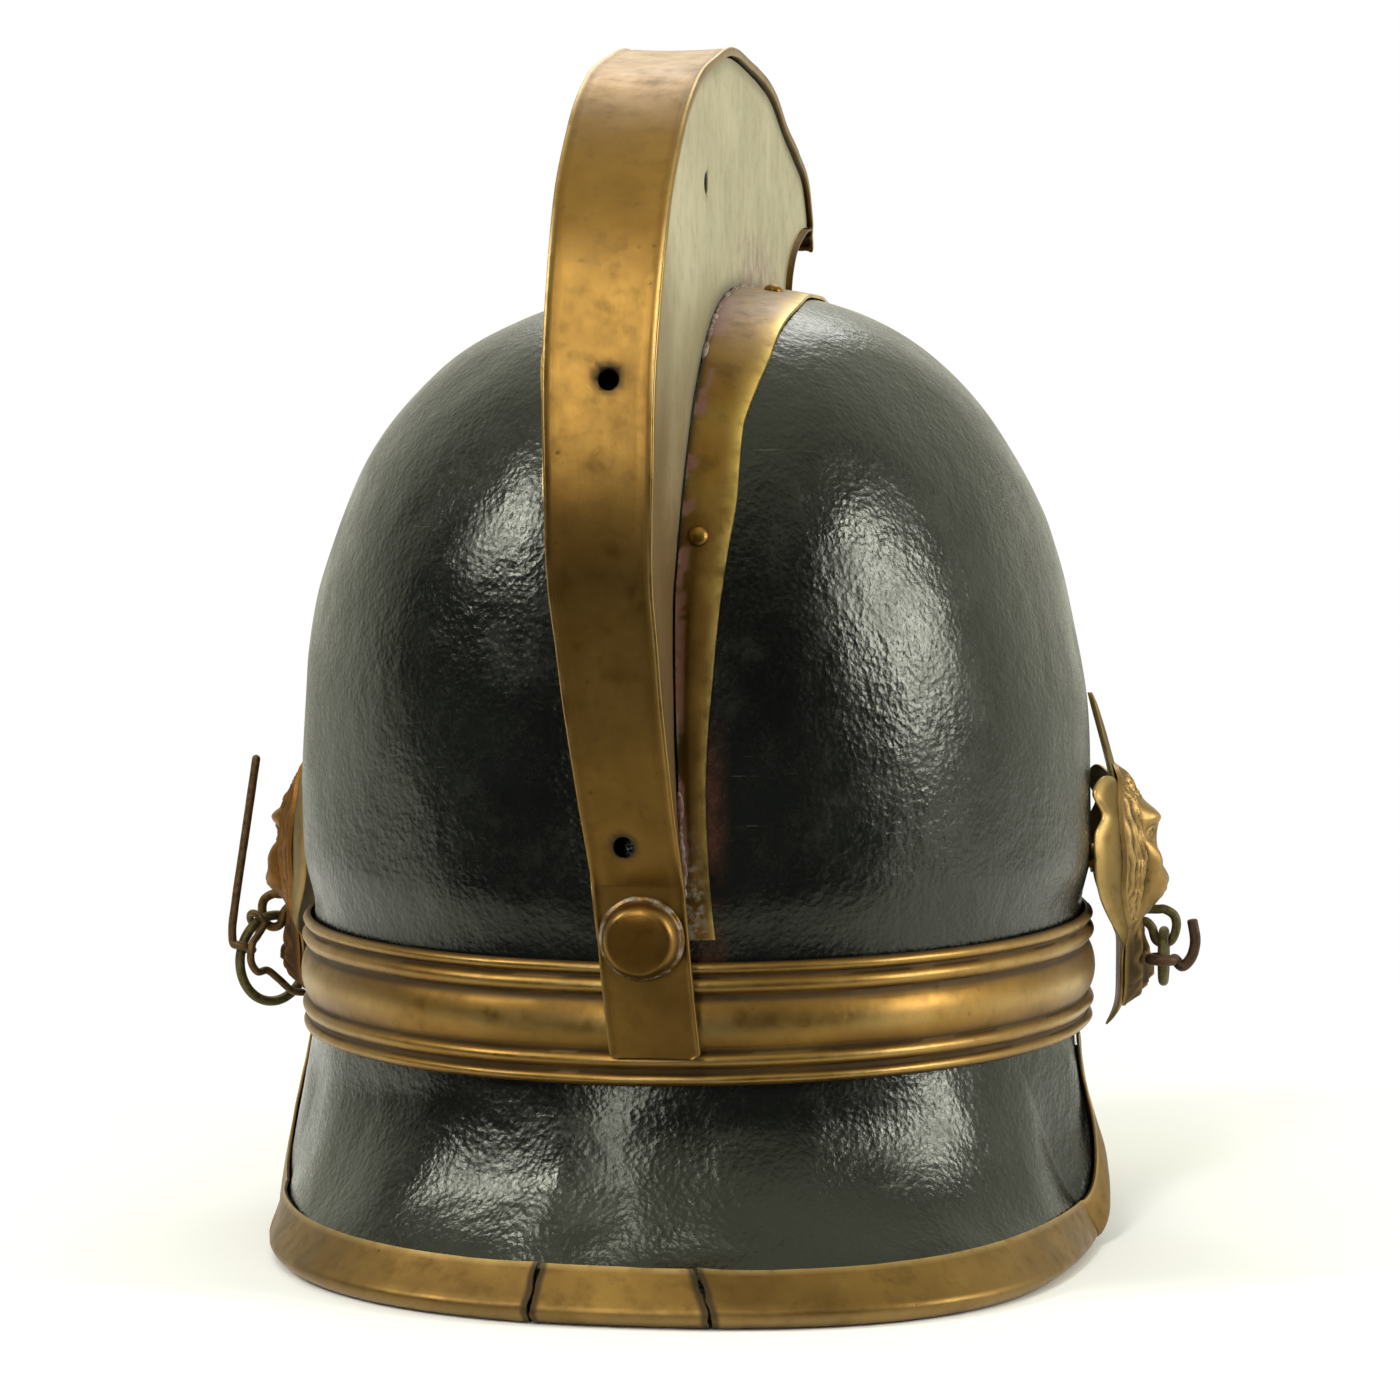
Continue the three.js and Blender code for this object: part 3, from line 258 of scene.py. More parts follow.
def skullReach(turn, x=0.0, inset=0.0):
    turn, x = np.broadcast_arrays(np.asarray(turn, float), np.asarray(x, float))
    inside = np.zeros(turn.shape)
    outside = np.full(turn.shape, 2.0 * skull["top"])
    for _ in range(40):  # halvings
        radius = (inside + outside) / 2
        place = overSkull(turn, radius)
        width, depth = skullRadii(place[..., 2], inset)
        side = (x / np.maximum(width, 1e-6)) ** 2 + (place[..., 1] / np.maximum(depth, 1e-6)) ** 2
        within = (place[..., 2] < skull["top"] - inset) & (side < 1)
        inside = np.where(within, radius, inside)
        outside = np.where(within, outside, radius)
    return inside


def catmullRom(points, count, closed=False):
    # Points along a centripetal spline
    points = np.asarray(points, float)
    if closed:
        chain = np.vstack([points[-1], points, points[0], points[1]])
    else:
        chain = np.vstack([2 * points[0] - points[1], points, 2 * points[-1] - points[-2]])
    spans = len(chain) - 3
    out = []
    for share in np.linspace(0, spans, count, endpoint=not closed):
        i = min(int(share), spans - 1)
        p = chain[i:i + 4]
        knots = np.concatenate([[0], np.cumsum(np.maximum(np.linalg.norm(np.diff(p, axis=0), axis=1), 1e-6) ** 0.5)])
        t = mix(knots[1], knots[2], share - i)

        def between(low, high, first, last):
            return low * (knots[last] - t) / (knots[last] - knots[first]) \
                + high * (t - knots[first]) / (knots[last] - knots[first])

        a = [between(p[k], p[k + 1], k, k + 1) for k in range(3)]
        b = [between(a[k], a[k + 1], k, k + 2) for k in range(2)]
        out.append(between(b[0], b[1], 1, 2))
    return np.array(out)


comb = {"rise": 58, "tailHalf": 10.6, "crestHalf": 13.7, "tailZ": 57, "sheet": 1, "lip": 1.9, "dish": 0.5,
        "tailDrift": 7.6, "driftTopZ": 164, "footSheet": 0.8, "footTop": 17, "footTail": 2.2, "endTurn": 129,
        "wallStart": -4.5, "footStart": -5.5, "footEnd": 121, "ventRadius": 2.4, "ventReach": 5,
        "holeRadius": 2.5, "holeReach": 6, "holeTurn": 67,
        "vents": [(5, 2), (38, -2)], "rivetTurns": [37, 82, 113], "frontTurns": [122, 118, 119.2, 123.5, 127.2]}
standShares = [(1, 0.11), (5, 0.19), (12, 0.325), (21, 0.51), (27, 0.695), (32, 0.83), (37, 0.93), (43, 1.015),
               (49, 1.08), (56, 1.1), (64, 1.085), (72, 1.04), (80, 1.03), (90, 0.983), (101, 0.95), (110, 0.91),
               (117, 0.96), (123, 1.05), (126.5, 1.02), (129, 0.95)]


def smoothLine(points):
    # The same soft curve as the CAD's through pairs of numbers, as two lists to read across
    p = np.array([points[0], *points, points[-1]], float)
    t = np.linspace(0, 1, 60, endpoint=False)[:, None]
    spans = []
    for a, b, c, d in zip(p[:-3], p[1:-2], p[2:-1], p[3:]):
        low, high = (c - a) / 2, (d - b) / 2
        spans.append((2 * b - 2 * c + low + high) * t ** 3 + (3 * c - 3 * b - 2 * low - high) * t ** 2 + low * t + b)
    return np.vstack([*spans, p[-1:]]).T


standLine = smoothLine(standShares)
bandReach = band["floor"] + max(band["bulges"])
tailY = rimHalfDepth + bandReach + gap + comb["sheet"] + comb["dish"]
tailTop = overSkull(1, skullReach(1) + comb["rise"] * 0.11)
tailSlope = (tailTop[1] - tailY) / (tailTop[2] - comb["tailZ"])


def tailYAt(z):
    return tailY + tailSlope * (z - comb["tailZ"])


def drift(z):
    # Sideways pull of the comb's tail
    share = np.maximum(0, (comb["driftTopZ"] - z) / (comb["driftTopZ"] - comb["tailZ"]))
    return -comb["tailDrift"] * share ** 1.15


def drifted(points):
    points = np.array(points, float)
    points[..., 0] += drift(points[..., 2])
    return points


def combReach(turn, drop=0.0):
    turn = np.asarray(turn, float)
    over = skullReach(turn) + comb["rise"] * np.interp(turn, *standLine)
    tail = tailYAt(skull["waist"]) / (np.cos(np.radians(turn)) - tailSlope * np.sin(np.radians(turn)))
    return np.where(turn >= 1, over, tail) - drop


def combHalf(turn):
    return mix(comb["tailHalf"], comb["crestHalf"], smoothStep(turn, -4, 62))


def wallHalf(turn):
    return combHalf(turn) - comb["sheet"] - gap


footSpread = ((-4, 5, 12, 22, 32, 42, 49.5, 55), (3.5, 3.5, 3.7, 4.3, 4.4, 2.3, 0.3, 0))  # turns, extra mm


def footWidth(turn):
    return mix(comb["footTail"], comb["footTop"], smoothStep(turn, 8, 78))


def footShown(turn, side):
    # The right foot strip splays wider near the comb's tail
    return footWidth(turn) + (side < 0) * np.interp(turn, *footSpread)


def fromComb(points):
    # How far out from the comb's foot a point on the skull lies
    turn = np.degrees(np.arctan2(points[..., 2] - skull["waist"], points[..., 1]))
    beside = np.abs(points[..., 0] - drift(points[..., 2])) - wallHalf(turn) - gap - footShown(turn, -1)
    return np.where((turn > -30) & (turn < 135), beside, 40)


# Meshes from grids of points

def inMetres(points):
    return (np.asarray(points) * mm + helmetMiddle).tolist()


def keepMarks(mesh, marks):
    for mark, values in marks.items():
        mesh.attributes.new(mark, "FLOAT", "POINT").data.foreach_set("value", np.asarray(values, float).ravel())


def gridNormals(grid, closed=False):
    along = np.gradient(np.concatenate([grid[:, -1:], grid, grid[:, :1]], 1), axis=1)[:, 1:-1] if closed \
        else np.gradient(grid, axis=1)
    down = np.gradient(grid, axis=0)
    normal = np.cross(along, down)
    return normal / np.maximum(np.linalg.norm(normal, axis=-1, keepdims=True), 1e-9)


def sheetFaces(rows, columns, closed):
    # Faces of a sheet between two grids: the outer one's points come first
    spans = columns if closed else columns - 1
    i = np.arange(spans)
    k = (i + 1) % columns
    faces = []
    j = np.arange(rows - 1)[:, None] * columns
    shift = rows * columns
    faces.append(np.stack([j + i, j + k, j + columns + k, j + columns + i], -1).reshape(-1, 4))
    faces.append(np.stack([j + i, j + columns + i, j + columns + k, j + k], -1).reshape(-1, 4) + shift)
    last = (rows - 1) * columns
    faces.append(np.stack([i, i + shift, k + shift, k], -1))
    faces.append(np.stack([last + i, last + k, last + k + shift, last + i + shift], -1))
    if not closed:
        c = np.arange(rows - 1) * columns
        end = columns - 1
        faces.append(np.stack([c, c + columns, c + columns + shift, c + shift], -1))
        faces.append(np.stack([c + end, c + end + shift, c + columns + end + shift, c + columns + end], -1))
    return np.concatenate(faces).tolist()


def makeMesh(name, points, faces, marks=None, sharpAngle=38, merge=0.004):
    # A closed mesh with its faces outwards. Marks are named values kept on its points.
    mesh = bpy.data.meshes.new(name)
    mesh.from_pydata(inMetres(points), [], faces)
    keepMarks(mesh, marks or {})
    work = bmesh.new()
    work.from_mesh(mesh)
    bmesh.ops.remove_doubles(work, verts=work.verts, dist=merge * mm)
    bmesh.ops.dissolve_degenerate(work, edges=work.edges, dist=1e-7)
    bmesh.ops.recalc_face_normals(work, faces=work.faces)
    work.to_mesh(mesh)
    work.free()
    mesh.polygons.foreach_set("use_smooth", [True] * len(mesh.polygons))
    mesh.set_sharp_from_angle(angle=math.radians(sharpAngle))
    return placeObject(name, mesh)


def makeSheet(name, outer, inner, closed=False, marks=None, **how):
    points = np.concatenate([outer.reshape(-1, 3), inner.reshape(-1, 3)])
    both = {mark: np.concatenate([np.ravel(v), np.ravel(v)]) for mark, v in (marks or {}).items()}
    return makeMesh(name, points, sheetFaces(outer.shape[0], outer.shape[1], closed), both, **how)


def makeLoft(name, rings, marks=None, flatEnds=(True, True), **how):
    # A body through rings of points
    count, around = rings.shape[:2]
    i = np.arange(around)
    k = (i + 1) % around
    j = np.arange(count - 1)[:, None] * around
    faces = np.stack([j + i, j + k, j + around + k, j + around + i], -1).reshape(-1, 4).tolist()
    if flatEnds[0]:
        faces.append(i[::-1].tolist())
    if flatEnds[1]:
        faces.append((i + (count - 1) * around).tolist())
    return makeMesh(name, rings.reshape(-1, 3), faces, marks, **how)


def makeTurned(name, profile, place, axis, sides=48, **how):
    # A profile of radius and height pairs, turned round an axis
    axis = Vector(axis).normalized()
    across = Vector((0, 0, 1)).cross(axis) if abs(axis.z) < 0.9 else Vector((1, 0, 0)).cross(axis)
    across.normalize()
    up = axis.cross(across)
    angle = np.linspace(0, 2 * np.pi, sides, endpoint=False)
    rings = np.array([[np.array(place) + np.array(axis) * h + np.array(across) * r * math.cos(a)
                       + np.array(up) * r * math.sin(a) for a in angle] for r, h in profile])
    return makeLoft(name, rings, flatEnds=(profile[0][0] > 0, profile[-1][0] > 0), **how)


def settle(piece, body, slotName, material, *nodes):
    piece.data.materials.clear()
    piece.data.materials.append(material)
    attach(piece, body)
    if nodes:
        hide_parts(*nodes)


# Materials

def finishMaterial(tree, bump, strength, distance, **surface):
    # Ends a material in one shader: a plain value goes on its socket, a socket is linked
    names = {"tone": "Base Color", "roughness": "Roughness", "metal": "Metallic", "specular": "Specular IOR Level",
             "sheenTone": "Specular Tint"}
    sockets = {names[key]: value for key, value in surface.items()}
    if bump is not None:
        relief = addNode(tree, "ShaderNodeBump", {"Height": bump, "Strength": strength, "Distance": distance})
        sockets["Normal"] = relief.outputs[0]
    shader = addNode(tree, "ShaderNodeBsdfPrincipled", sockets)
    addNode(tree, "ShaderNodeOutputMaterial", {"Surface": shader.outputs[0]})


def perMetre(featureMm):
    return 1000 / featureMm  # a texture scale whose features are about this many millimetres


def cloud(tree, place, featureMm, detail=3.0, roughness=0.55, stretch=None):
    if stretch:
        place = addNode(tree, "ShaderNodeMapping", {"Vector": place, "Scale": stretch}).outputs[0]
    return addNode(tree, "ShaderNodeTexNoise", {"Vector": place, "Scale": perMetre(featureMm), "Detail": detail,
                                                "Roughness": roughness}).outputs["Fac"]


def tint(tree, share, under, over, kind="MIX"):
    # One colour over another, by a share
    node = addNode(tree, "ShaderNodeMix", {0: share}, data_type="RGBA", blend_type=kind)
    for socket, value in ((node.inputs[6], under), (node.inputs[7], over)):
        if isinstance(value, bpy.types.NodeSocket):
            tree.links.new(value, socket)
        else:
            socket.default_value = linearTone(value)
    return node.outputs[2]


def mark(tree, name):
    return addNode(tree, "ShaderNodeAttribute", attribute_name=name).outputs["Fac"]


def lacqueredLeather():
    # Pressed cowhide under black lacquer: near black, satin, with a fine pebble grain, wiped dull in patches
    material, tree, place = startMaterial("blackLacqueredLeather")
    wide = cloud(tree, place, 45, 4)
    patch = cloud(tree, place, 14, 5, 0.62)
    speck = cloud(tree, place, 1.1, 2)
    tone = tint(tree, ramp(tree, wide, 0.35, 0.7), "#070807", "#101210")
    tone = tint(tree, ramp(tree, patch, 0.56, 0.72, 0, 0.5), tone, "#1b1d18")
    scratch = cloud(tree, place, 5, 6, 0.7, (0.2, 0.2, 3.2))
    scratches = times(tree, ramp(tree, scratch, 0.665, 0.7), ramp(tree, wide, 0.45, 0.6))
    tone = tint(tree, times(tree, scratches, 0.35), tone, "#565548")
    # A reddish-brown streak on the rear leather, right of the comb
    rubbed = times(tree, mark(tree, "rubbed"), ramp(tree, patch, 0.35, 0.6))
    tone = tint(tree, times(tree, rubbed, 0.85), tone, "#3a1d12")
    roughness = plus(tree, ramp(tree, patch, 0.3, 0.75, 0.17, 0.33), ramp(tree, speck, 0.35, 0.7, -0.03, 0.06))
    roughness = plus(tree, roughness, times(tree, scratches, 0.2))
    grain = addNode(tree, "ShaderNodeTexVoronoi", {"Vector": place, "Scale": perMetre(1.5)}, feature="F1").outputs[0]
    folds = cloud(tree, place, 6, 5, 0.62)
    height = plus(tree, times(tree, grain, 0.4), times(tree, folds, 1.8))
    wander = addNode(tree, "ShaderNodeTexNoise", {"Vector": place, "Scale": perMetre(5), "Detail": 3.0})
    bent = addNode(tree, "ShaderNodeVectorMath", {0: wander.outputs["Color"], 1: (0.007, 0.007, 0.007), 2: place},
                   operation="MULTIPLY_ADD")
    crackWeb = addNode(tree, "ShaderNodeTexVoronoi", {"Vector": bent.outputs[0], "Scale": perMetre(5)},
                       feature="DISTANCE_TO_EDGE").outputs[0]
    flaking = times(tree, mark(tree, "cracked"), ramp(tree, patch, 0.46, 0.56))
    crack = times(tree, ramp(tree, crackWeb, 0.06, 0.0), flaking)
    height = minus(tree, height, times(tree, crack, 0.9))
    tone = tint(tree, times(tree, crack, 0.3), tone, "#4c4a3c")
    finishMaterial(tree, height, 0.6, 0.00036, tone=tone, roughness=roughness, specular=0.5,
                   sheenTone=linearTone("#f2f5df"))
    return material


def agedBrass(name, low, high, bright, dark, roughLow=0.34, roughHigh=0.52, metal=1.0, sheet=True, crusted=False):
    # Yellow brass, long unpolished: brown-gold patina, hollows darkened by grime and painted shade, brighter where
    # hands rub it. Rolled sheet has its fine hair lines one way. A crusted piece also takes old flux, solder and
    # brown stains.
    material, tree, place = startMaterial(name)
    wide = cloud(tree, place, 30, 4)
    fine = cloud(tree, place, 6, 5, 0.65)
    tone = tint(tree, ramp(tree, wide, 0.35, 0.68), low, high)
    tone = tint(tree, ramp(tree, fine, 0.5, 0.78, 0, 0.55), tone, dark)
    specks = addNode(tree, "ShaderNodeTexVoronoi", {"Vector": place, "Scale": perMetre(5.5)}, feature="F1").outputs[0]
    pits = times(tree, ramp(tree, specks, 0.13, 0.06), ramp(tree, fine, 0.45, 0.6))
    tone = tint(tree, times(tree, pits, 0.65), tone, dark)
    edge = times(tree, mark(tree, "worn"), ramp(tree, fine, 0.28, 0.55, 0.25, 1))
    tone = tint(tree, edge, tone, bright)
    # Grime and painted shade in the hollows: dark brown, rougher and less metallic
    hollow = times(tree, mark(tree, "hollow"), ramp(tree, fine, 0.2, 0.7, 1.0, 0.7))
    tone = tint(tree, hollow, tone, "#1d1408")
    if crusted:
        tone = tint(tree, times(tree, mark(tree, "brown"), 0.92), tone, "#70542a")
        crust = times(tree, mark(tree, "flux"), ramp(tree, fine, 0.3, 0.5))
        tone = tint(tree, crust, tone, "#7d5647")
        crumbs = ramp(tree, cloud(tree, place, 2.4, 5, 0.7), 0.44, 0.62)
        tinned = times(tree, mark(tree, "tinned"), crumbs)
        tone = tint(tree, times(tree, tinned, 0.75), tone, "#8d8b7e")
        metal = minus(tree, metal, times(tree, math2(tree, "MAXIMUM", crust, tinned), 0.6))
    hair = cloud(tree, place, 3, 5, 0.7, (3.5, 0.25, 0.25) if sheet else None)
    roughness = plus(tree, ramp(tree, fine, 0.3, 0.75, roughLow, roughHigh), times(tree, hollow, 0.25))
    roughness = minus(tree, roughness, times(tree, edge, 0.1))
    shine = minus(tree, metal, times(tree, hollow, 0.45))
    height = plus(tree, times(tree, hair, 0.35), times(tree, fine, 0.8))
    height = minus(tree, height, times(tree, pits, 0.5))
    finishMaterial(tree, height, 0.35, 0.00025, tone=tone, roughness=roughness, metal=shine)
    return material


def castIron(name, tone1, tone2, metal=0.7):
    # Drawn iron wire, rusted and handled to a dark brown patina
    material, tree, place = startMaterial(name)
    fine = cloud(tree, place, 1.6, 4, 0.65)
    tone = tint(tree, ramp(tree, fine, 0.35, 0.7), tone1, tone2)
    finishMaterial(tree, fine, 0.4, 0.0002, tone=tone, roughness=ramp(tree, fine, 0.3, 0.7, 0.42, 0.68), metal=metal)
    return material


def tannedLeather(name, tone1, tone2):
    # Vegetable-tanned lining leather, dull brown, darkened and creased by wear
    material, tree, place = startMaterial(name)
    wide = cloud(tree, place, 25, 4)
    grain = cloud(tree, place, 1.4, 3, 0.6)
    tone = tint(tree, ramp(tree, wide, 0.35, 0.7), tone1, tone2)
    tone = tint(tree, ramp(tree, grain, 0.5, 0.75, 0, 0.4), tone, "#2c1b10")
    height = plus(tree, times(tree, grain, 0.6), wide)
    roughness = ramp(tree, grain, 0.3, 0.7, 0.6, 0.85)
    finishMaterial(tree, height, 0.5, 0.0004, tone=tone, roughness=roughness, specular=0.35)
    return material


def softSolder():
    # Old tin-lead solder and flux: dull grey-white crumbs, stained reddish brown by the flux
    material, tree, place = startMaterial("softSolder")
    crumb = cloud(tree, place, 2.2, 5, 0.7)
    tone = tint(tree, ramp(tree, crumb, 0.38, 0.6), "#6b4a42", "#a8a294")
    tone = tint(tree, mark(tree, "flux"), tone, "#5b2f26")
    finishMaterial(tree, crumb, 0.6, 0.0005, tone=tone, roughness=0.72, metal=0.25)
    return material


def linenThread():
    # Waxed linen thread: pale brown, matt, with its twist too fine to show
    material, tree, place = startMaterial("linenThread")
    twist = cloud(tree, place, 0.8, 2)
    tone = tint(tree, twist, "#8a7350", "#b09a74")
    finishMaterial(tree, twist, 0.3, 0.0002, tone=tone, roughness=0.85, specular=0.3)
    return material


leatherBlack = lacqueredLeather()
stripBrass = agedBrass("agedStripBrass", "#785724", "#957134", "#cdb072", "#5c431b")
plateBrass = agedBrass("dullPlateBrass", "#6b5730", "#80693b", "#a98e58", "#46371a", 0.42, 0.6)
footBrass = agedBrass("fluxStainedBrass", "#5f451e", "#7e5e2c", "#d6b766", "#46341a", crusted=True)
knobBrass = agedBrass("darkKnobBrass", "#5c4118", "#745322", "#a58750", "#38260d", sheet=False, crusted=True)
trimBrass = agedBrass("wornTrimBrass", "#69502b", "#8c6e3a", "#c4a76d", "#463418", 0.38, 0.58)
wallBrass = agedBrass("tarnishedSheetBrass", "#aaa07f", "#c1b796", "#d6ceb0", "#91865f", 0.4, 0.55, 0.65,
                      crusted=True)
castBrass = agedBrass("castBossBrass", "#84683a", "#a08452", "#c4a96e", "#4d3a1c", 0.36, 0.55, 1.0, False)
castBrassBrown = agedBrass("castBossBrassBrown", "#774c20", "#8f6430", "#b58a50", "#43290f", 0.38, 0.58, 1.0, False)
ironWire = castIron("brownIronWire", "#46341c", "#715733")
rustyWire = castIron("rustBrownIronWire", "#3a2a1c", "#5f4731")
oliveWire = castIron("oliveIronWire", "#403a20", "#6d6339")
brassWire = castIron("tarnishedBrassWire", "#4d3b20", "#7d6134", 0.9)
liningBrown = tannedLeather("brownLiningLeather", "#4a2e1a", "#6d4628")
sweatBrown = tannedLeather("darkSweatbandLeather", "#35210f", "#573821")
solder = softSolder()
thread = linenThread()
print("materials ready")


# Leather skull, neck guard and peak

leatherWork = {"dentDepth": 1.1, "dentSize": 34.0, "rippleDepth": 0.3, "rippleSize": 11.0, "lean": 1.4,
               "streakX": -19.4, "streakHalf": 4.6, "crackMiddle": (-83, 30, 181), "crackReach": 22, "around": 300,
               "up": 120, "below": 16}


def dents(points, depth, ripple, seed=0.0):
    # How far the leather has sunk at each point
    deep = np.clip(lumps(points, leatherWork["dentSize"], seed) * 0.9 + 0.35, 0, 1) - 0.25
    return depth * deep + ripple * (lumps(points, leatherWork["rippleSize"], seed + 7) * 0.5 + 0.35)


def skullMesh():
    angle = np.linspace(0, 2 * np.pi, leatherWork["around"], endpoint=False)
    low = np.linspace(skull["rim"], skull["waist"], leatherWork["below"])[:-1]
    rise = np.sin(np.linspace(0, np.pi / 2, leatherWork["up"])) ** (2 / skull["widthPower"])

    def layer(inset):
        z = np.concatenate([low, mix(skull["waist"], skull["top"] - inset, rise)])
        width, depth = skullRadii(z, inset)
        return np.stack([width[:, None] * np.cos(angle), depth[:, None] * np.sin(angle),
                         np.repeat(z[:, None], len(angle), 1)], -1)

    outer = layer(0)
    normal = gridNormals(outer, True)
    normal *= np.where((normal * (outer - [0, 0, 60])).sum(-1, keepdims=True) < 0, -1, 1)
    underComb = smoothStep(fromComb(outer), 0, 14)
    underBand = smoothStep(outer[..., 2], bandTop - 4, bandTop + 8)
    sink = dents(outer, leatherWork["dentDepth"], leatherWork["rippleDepth"], 3.1) * underBand * underComb
    nearStud = np.linalg.norm(outer * [0, 1, 1] - [0, boss["y"], boss["z"]], axis=-1)
    sink = np.where(sink < 0, sink * smoothStep(nearStud, 12, 22), sink)
    outer = outer - normal * sink[..., None]
    lean = leatherWork["lean"] * smoothStep(outer[..., 2], 110, 170)
    outer[..., 0] += lean * smoothStep(np.abs(outer[..., 0]), 34, 60)
    # A reddish-brown streak on the rear leather, right of the comb
    besideStreak = np.abs(outer[..., 0] - leatherWork["streakX"])
    rubbed = smoothStep(leatherWork["streakHalf"] - besideStreak, 0, 2.6) * (outer[..., 1] > 60) \
        * smoothStep(140 - outer[..., 2], 0, 26)
    fromCrack = np.linalg.norm(outer - leatherWork["crackMiddle"], axis=-1)
    cracked = smoothStep(leatherWork["crackReach"] - fromCrack, 0, 12)
    piece = makeSheet("skullShell", outer, layer(skull["wall"]), True, {"rubbed": rubbed, "cracked": cracked})
    settle(piece, "helmet", "black_leather", leatherBlack, "skull_shell")


skullMesh()

flareShape = {"leather": 2.6, "trimSheet": 0.7, "trimDepth": 9.3, "trimGap": 0.6, "trimFold": 1.5, "groundCut": 0.8,
              "edgeLeanShare": 0.8, "endShare": 0.985, "cornerShare": 0.72, "edgeWidthPower": 0.85,
              "edgeReachPower": 0.8, "bendTurns": (0.4, 0.9), "dentDepth": 2.6, "rippleDepth": 0.35,
              "splitHalf": 0.0016, "splitReach": 0.018, "jag": 0.004, "jagReach": 0.01, "columns": 240, "rows": 34}
flares = {
    "guard": {"sign": 1, "endY": 11, "half": 98.5, "cornerY": 36, "tipY": 147.0, "skew": 7, "bends": (0.12, 0.5),
              "swells": (7.0, 3.6)},  # how far its sides stand out beside the corners: right, left
    "peak": {"sign": -1, "endY": -38, "half": 90, "cornerY": -84, "tipY": -151.9, "skew": 0, "bends": (0.12, 0.12),
             "swells": (0, 0)},
}
flareStep = 0.01  # share of a flare's width or height over which its slope is taken
edgeZ = (flareShape["edgeLeanShare"] * flareShape["leather"] + flareShape["trimFold"] + flareShape["trimGap"]
         - flareShape["groundCut"])


def flareTop(flare, along):
    start = math.asin(flare["endY"] / rimHalfDepth)
    angle = mix(start, flare["sign"] * math.pi - start, (1 - along) / 2)
    return np.stack([rimHalfWidth * np.cos(angle), rimHalfDepth * np.sin(angle),
                     np.full(np.shape(along), skull["rim"] - gap)], -1)


def flareEdge(flare, along):
    side = np.sign(along)
    share = np.abs(along) / flareShape["cornerShare"]
    angle = np.minimum(share, 1) * math.pi / 2
    reach = np.maximum(np.cos(angle), 0) ** flareShape["edgeReachPower"]
    x = side * flare["half"] * np.sin(angle) ** flareShape["edgeWidthPower"] - flare["skew"] * reach
    y = mix(flare["cornerY"], flare["tipY"], reach)
    resting = np.stack([x, y, np.full(np.shape(along), edgeZ)], -1)
    rest = np.clip((share - 1) / (1 / flareShape["cornerShare"] - 1), 0, 1)[..., None]
    top = flareTop(flare, side)
    corner = np.stack([side * flare["half"], np.full(np.shape(along), float(flare["cornerY"])),
                       np.full(np.shape(along), edgeZ)], -1)
    lower = corner.copy()
    lower[..., 1] = mix(flare["cornerY"], flare["endY"], 0.42)
    rising = corner * (1 - rest) ** 2 + 2 * lower * rest * (1 - rest) + top * rest ** 2
    edge = np.where(share[..., None] <= 1, resting, rising)
    swell = np.exp(-((np.abs(along) - 0.83) / 0.15) ** 2) * smoothStep(1 - np.abs(along), 0, 0.12)
    edge[..., 0] += np.where(along < 0, -flare["swells"][0], flare["swells"][1]) * swell
    return edge


def flarePoint(flare, along, down):
    along, down = np.broadcast_arrays(np.asarray(along, float), np.asarray(down, float))
    top, edge, t = flareTop(flare, along), flareEdge(flare, along), down[..., None]
    out = mix(*flare["bends"], smoothStep(np.abs(along), *flareShape["bendTurns"]))
    bend = mix(top, edge, np.stack([out, out, np.full(out.shape, 0.5)], -1))
    return top * (1 - t) ** 2 + 2 * bend * t * (1 - t) + edge * t ** 2


def flareNormal(flare, along, down):
    more, less = np.minimum(1, along + flareStep), np.maximum(-1, along - flareStep)
    across = flarePoint(flare, more, down) - flarePoint(flare, less, down)
    lower, higher = np.minimum(1, down + flareStep), np.maximum(0, down - flareStep)
    fall = flarePoint(flare, along, lower) - flarePoint(flare, along, higher)
    normal = np.cross(across, fall)
    normal /= np.linalg.norm(normal, axis=-1, keepdims=True)
    outward = flareTop(flare, along) * [1, 1, 0]
    return normal * np.where((normal * outward).sum(-1, keepdims=True) < 0, -1, 1)


def trimLine(flare, along):
    length = np.linalg.norm(flareTop(flare, along) - flareEdge(flare, along), axis=-1)
    return 1 - np.minimum(flareShape["trimDepth"] / length, 0.8)


def flareMesh(name, flare, node, seed):
    along = np.linspace(-flareShape["endShare"], flareShape["endShare"], flareShape["columns"])
    down = np.linspace(0, 1, flareShape["rows"])[:, None]
    grid = flarePoint(flare, along[None], down)
    normal = flareNormal(flare, np.broadcast_to(along, grid.shape[:2]), np.broadcast_to(down, grid.shape[:2]))
    flat = flareTop(flare, along) * [1, 1, 0]
    normal[0] = flat / np.linalg.norm(flat, axis=-1, keepdims=True)
    loose = smoothStep(down, 0, 0.25) * smoothStep(trimLine(flare, along)[None] + 0.04 - down, 0, 0.12)
    sink = dents(grid, flareShape["dentDepth"], flareShape["rippleDepth"], seed) * loose
    outer = grid - normal * sink[..., None]
    inner = outer - normal * flareShape["leather"]
    unmarked = np.zeros(outer.shape[:2])
    piece = makeSheet(name, outer, inner, False, {"rubbed": unmarked, "cracked": unmarked})
    settle(piece, "helmet", "black_leather", leatherBlack, node)


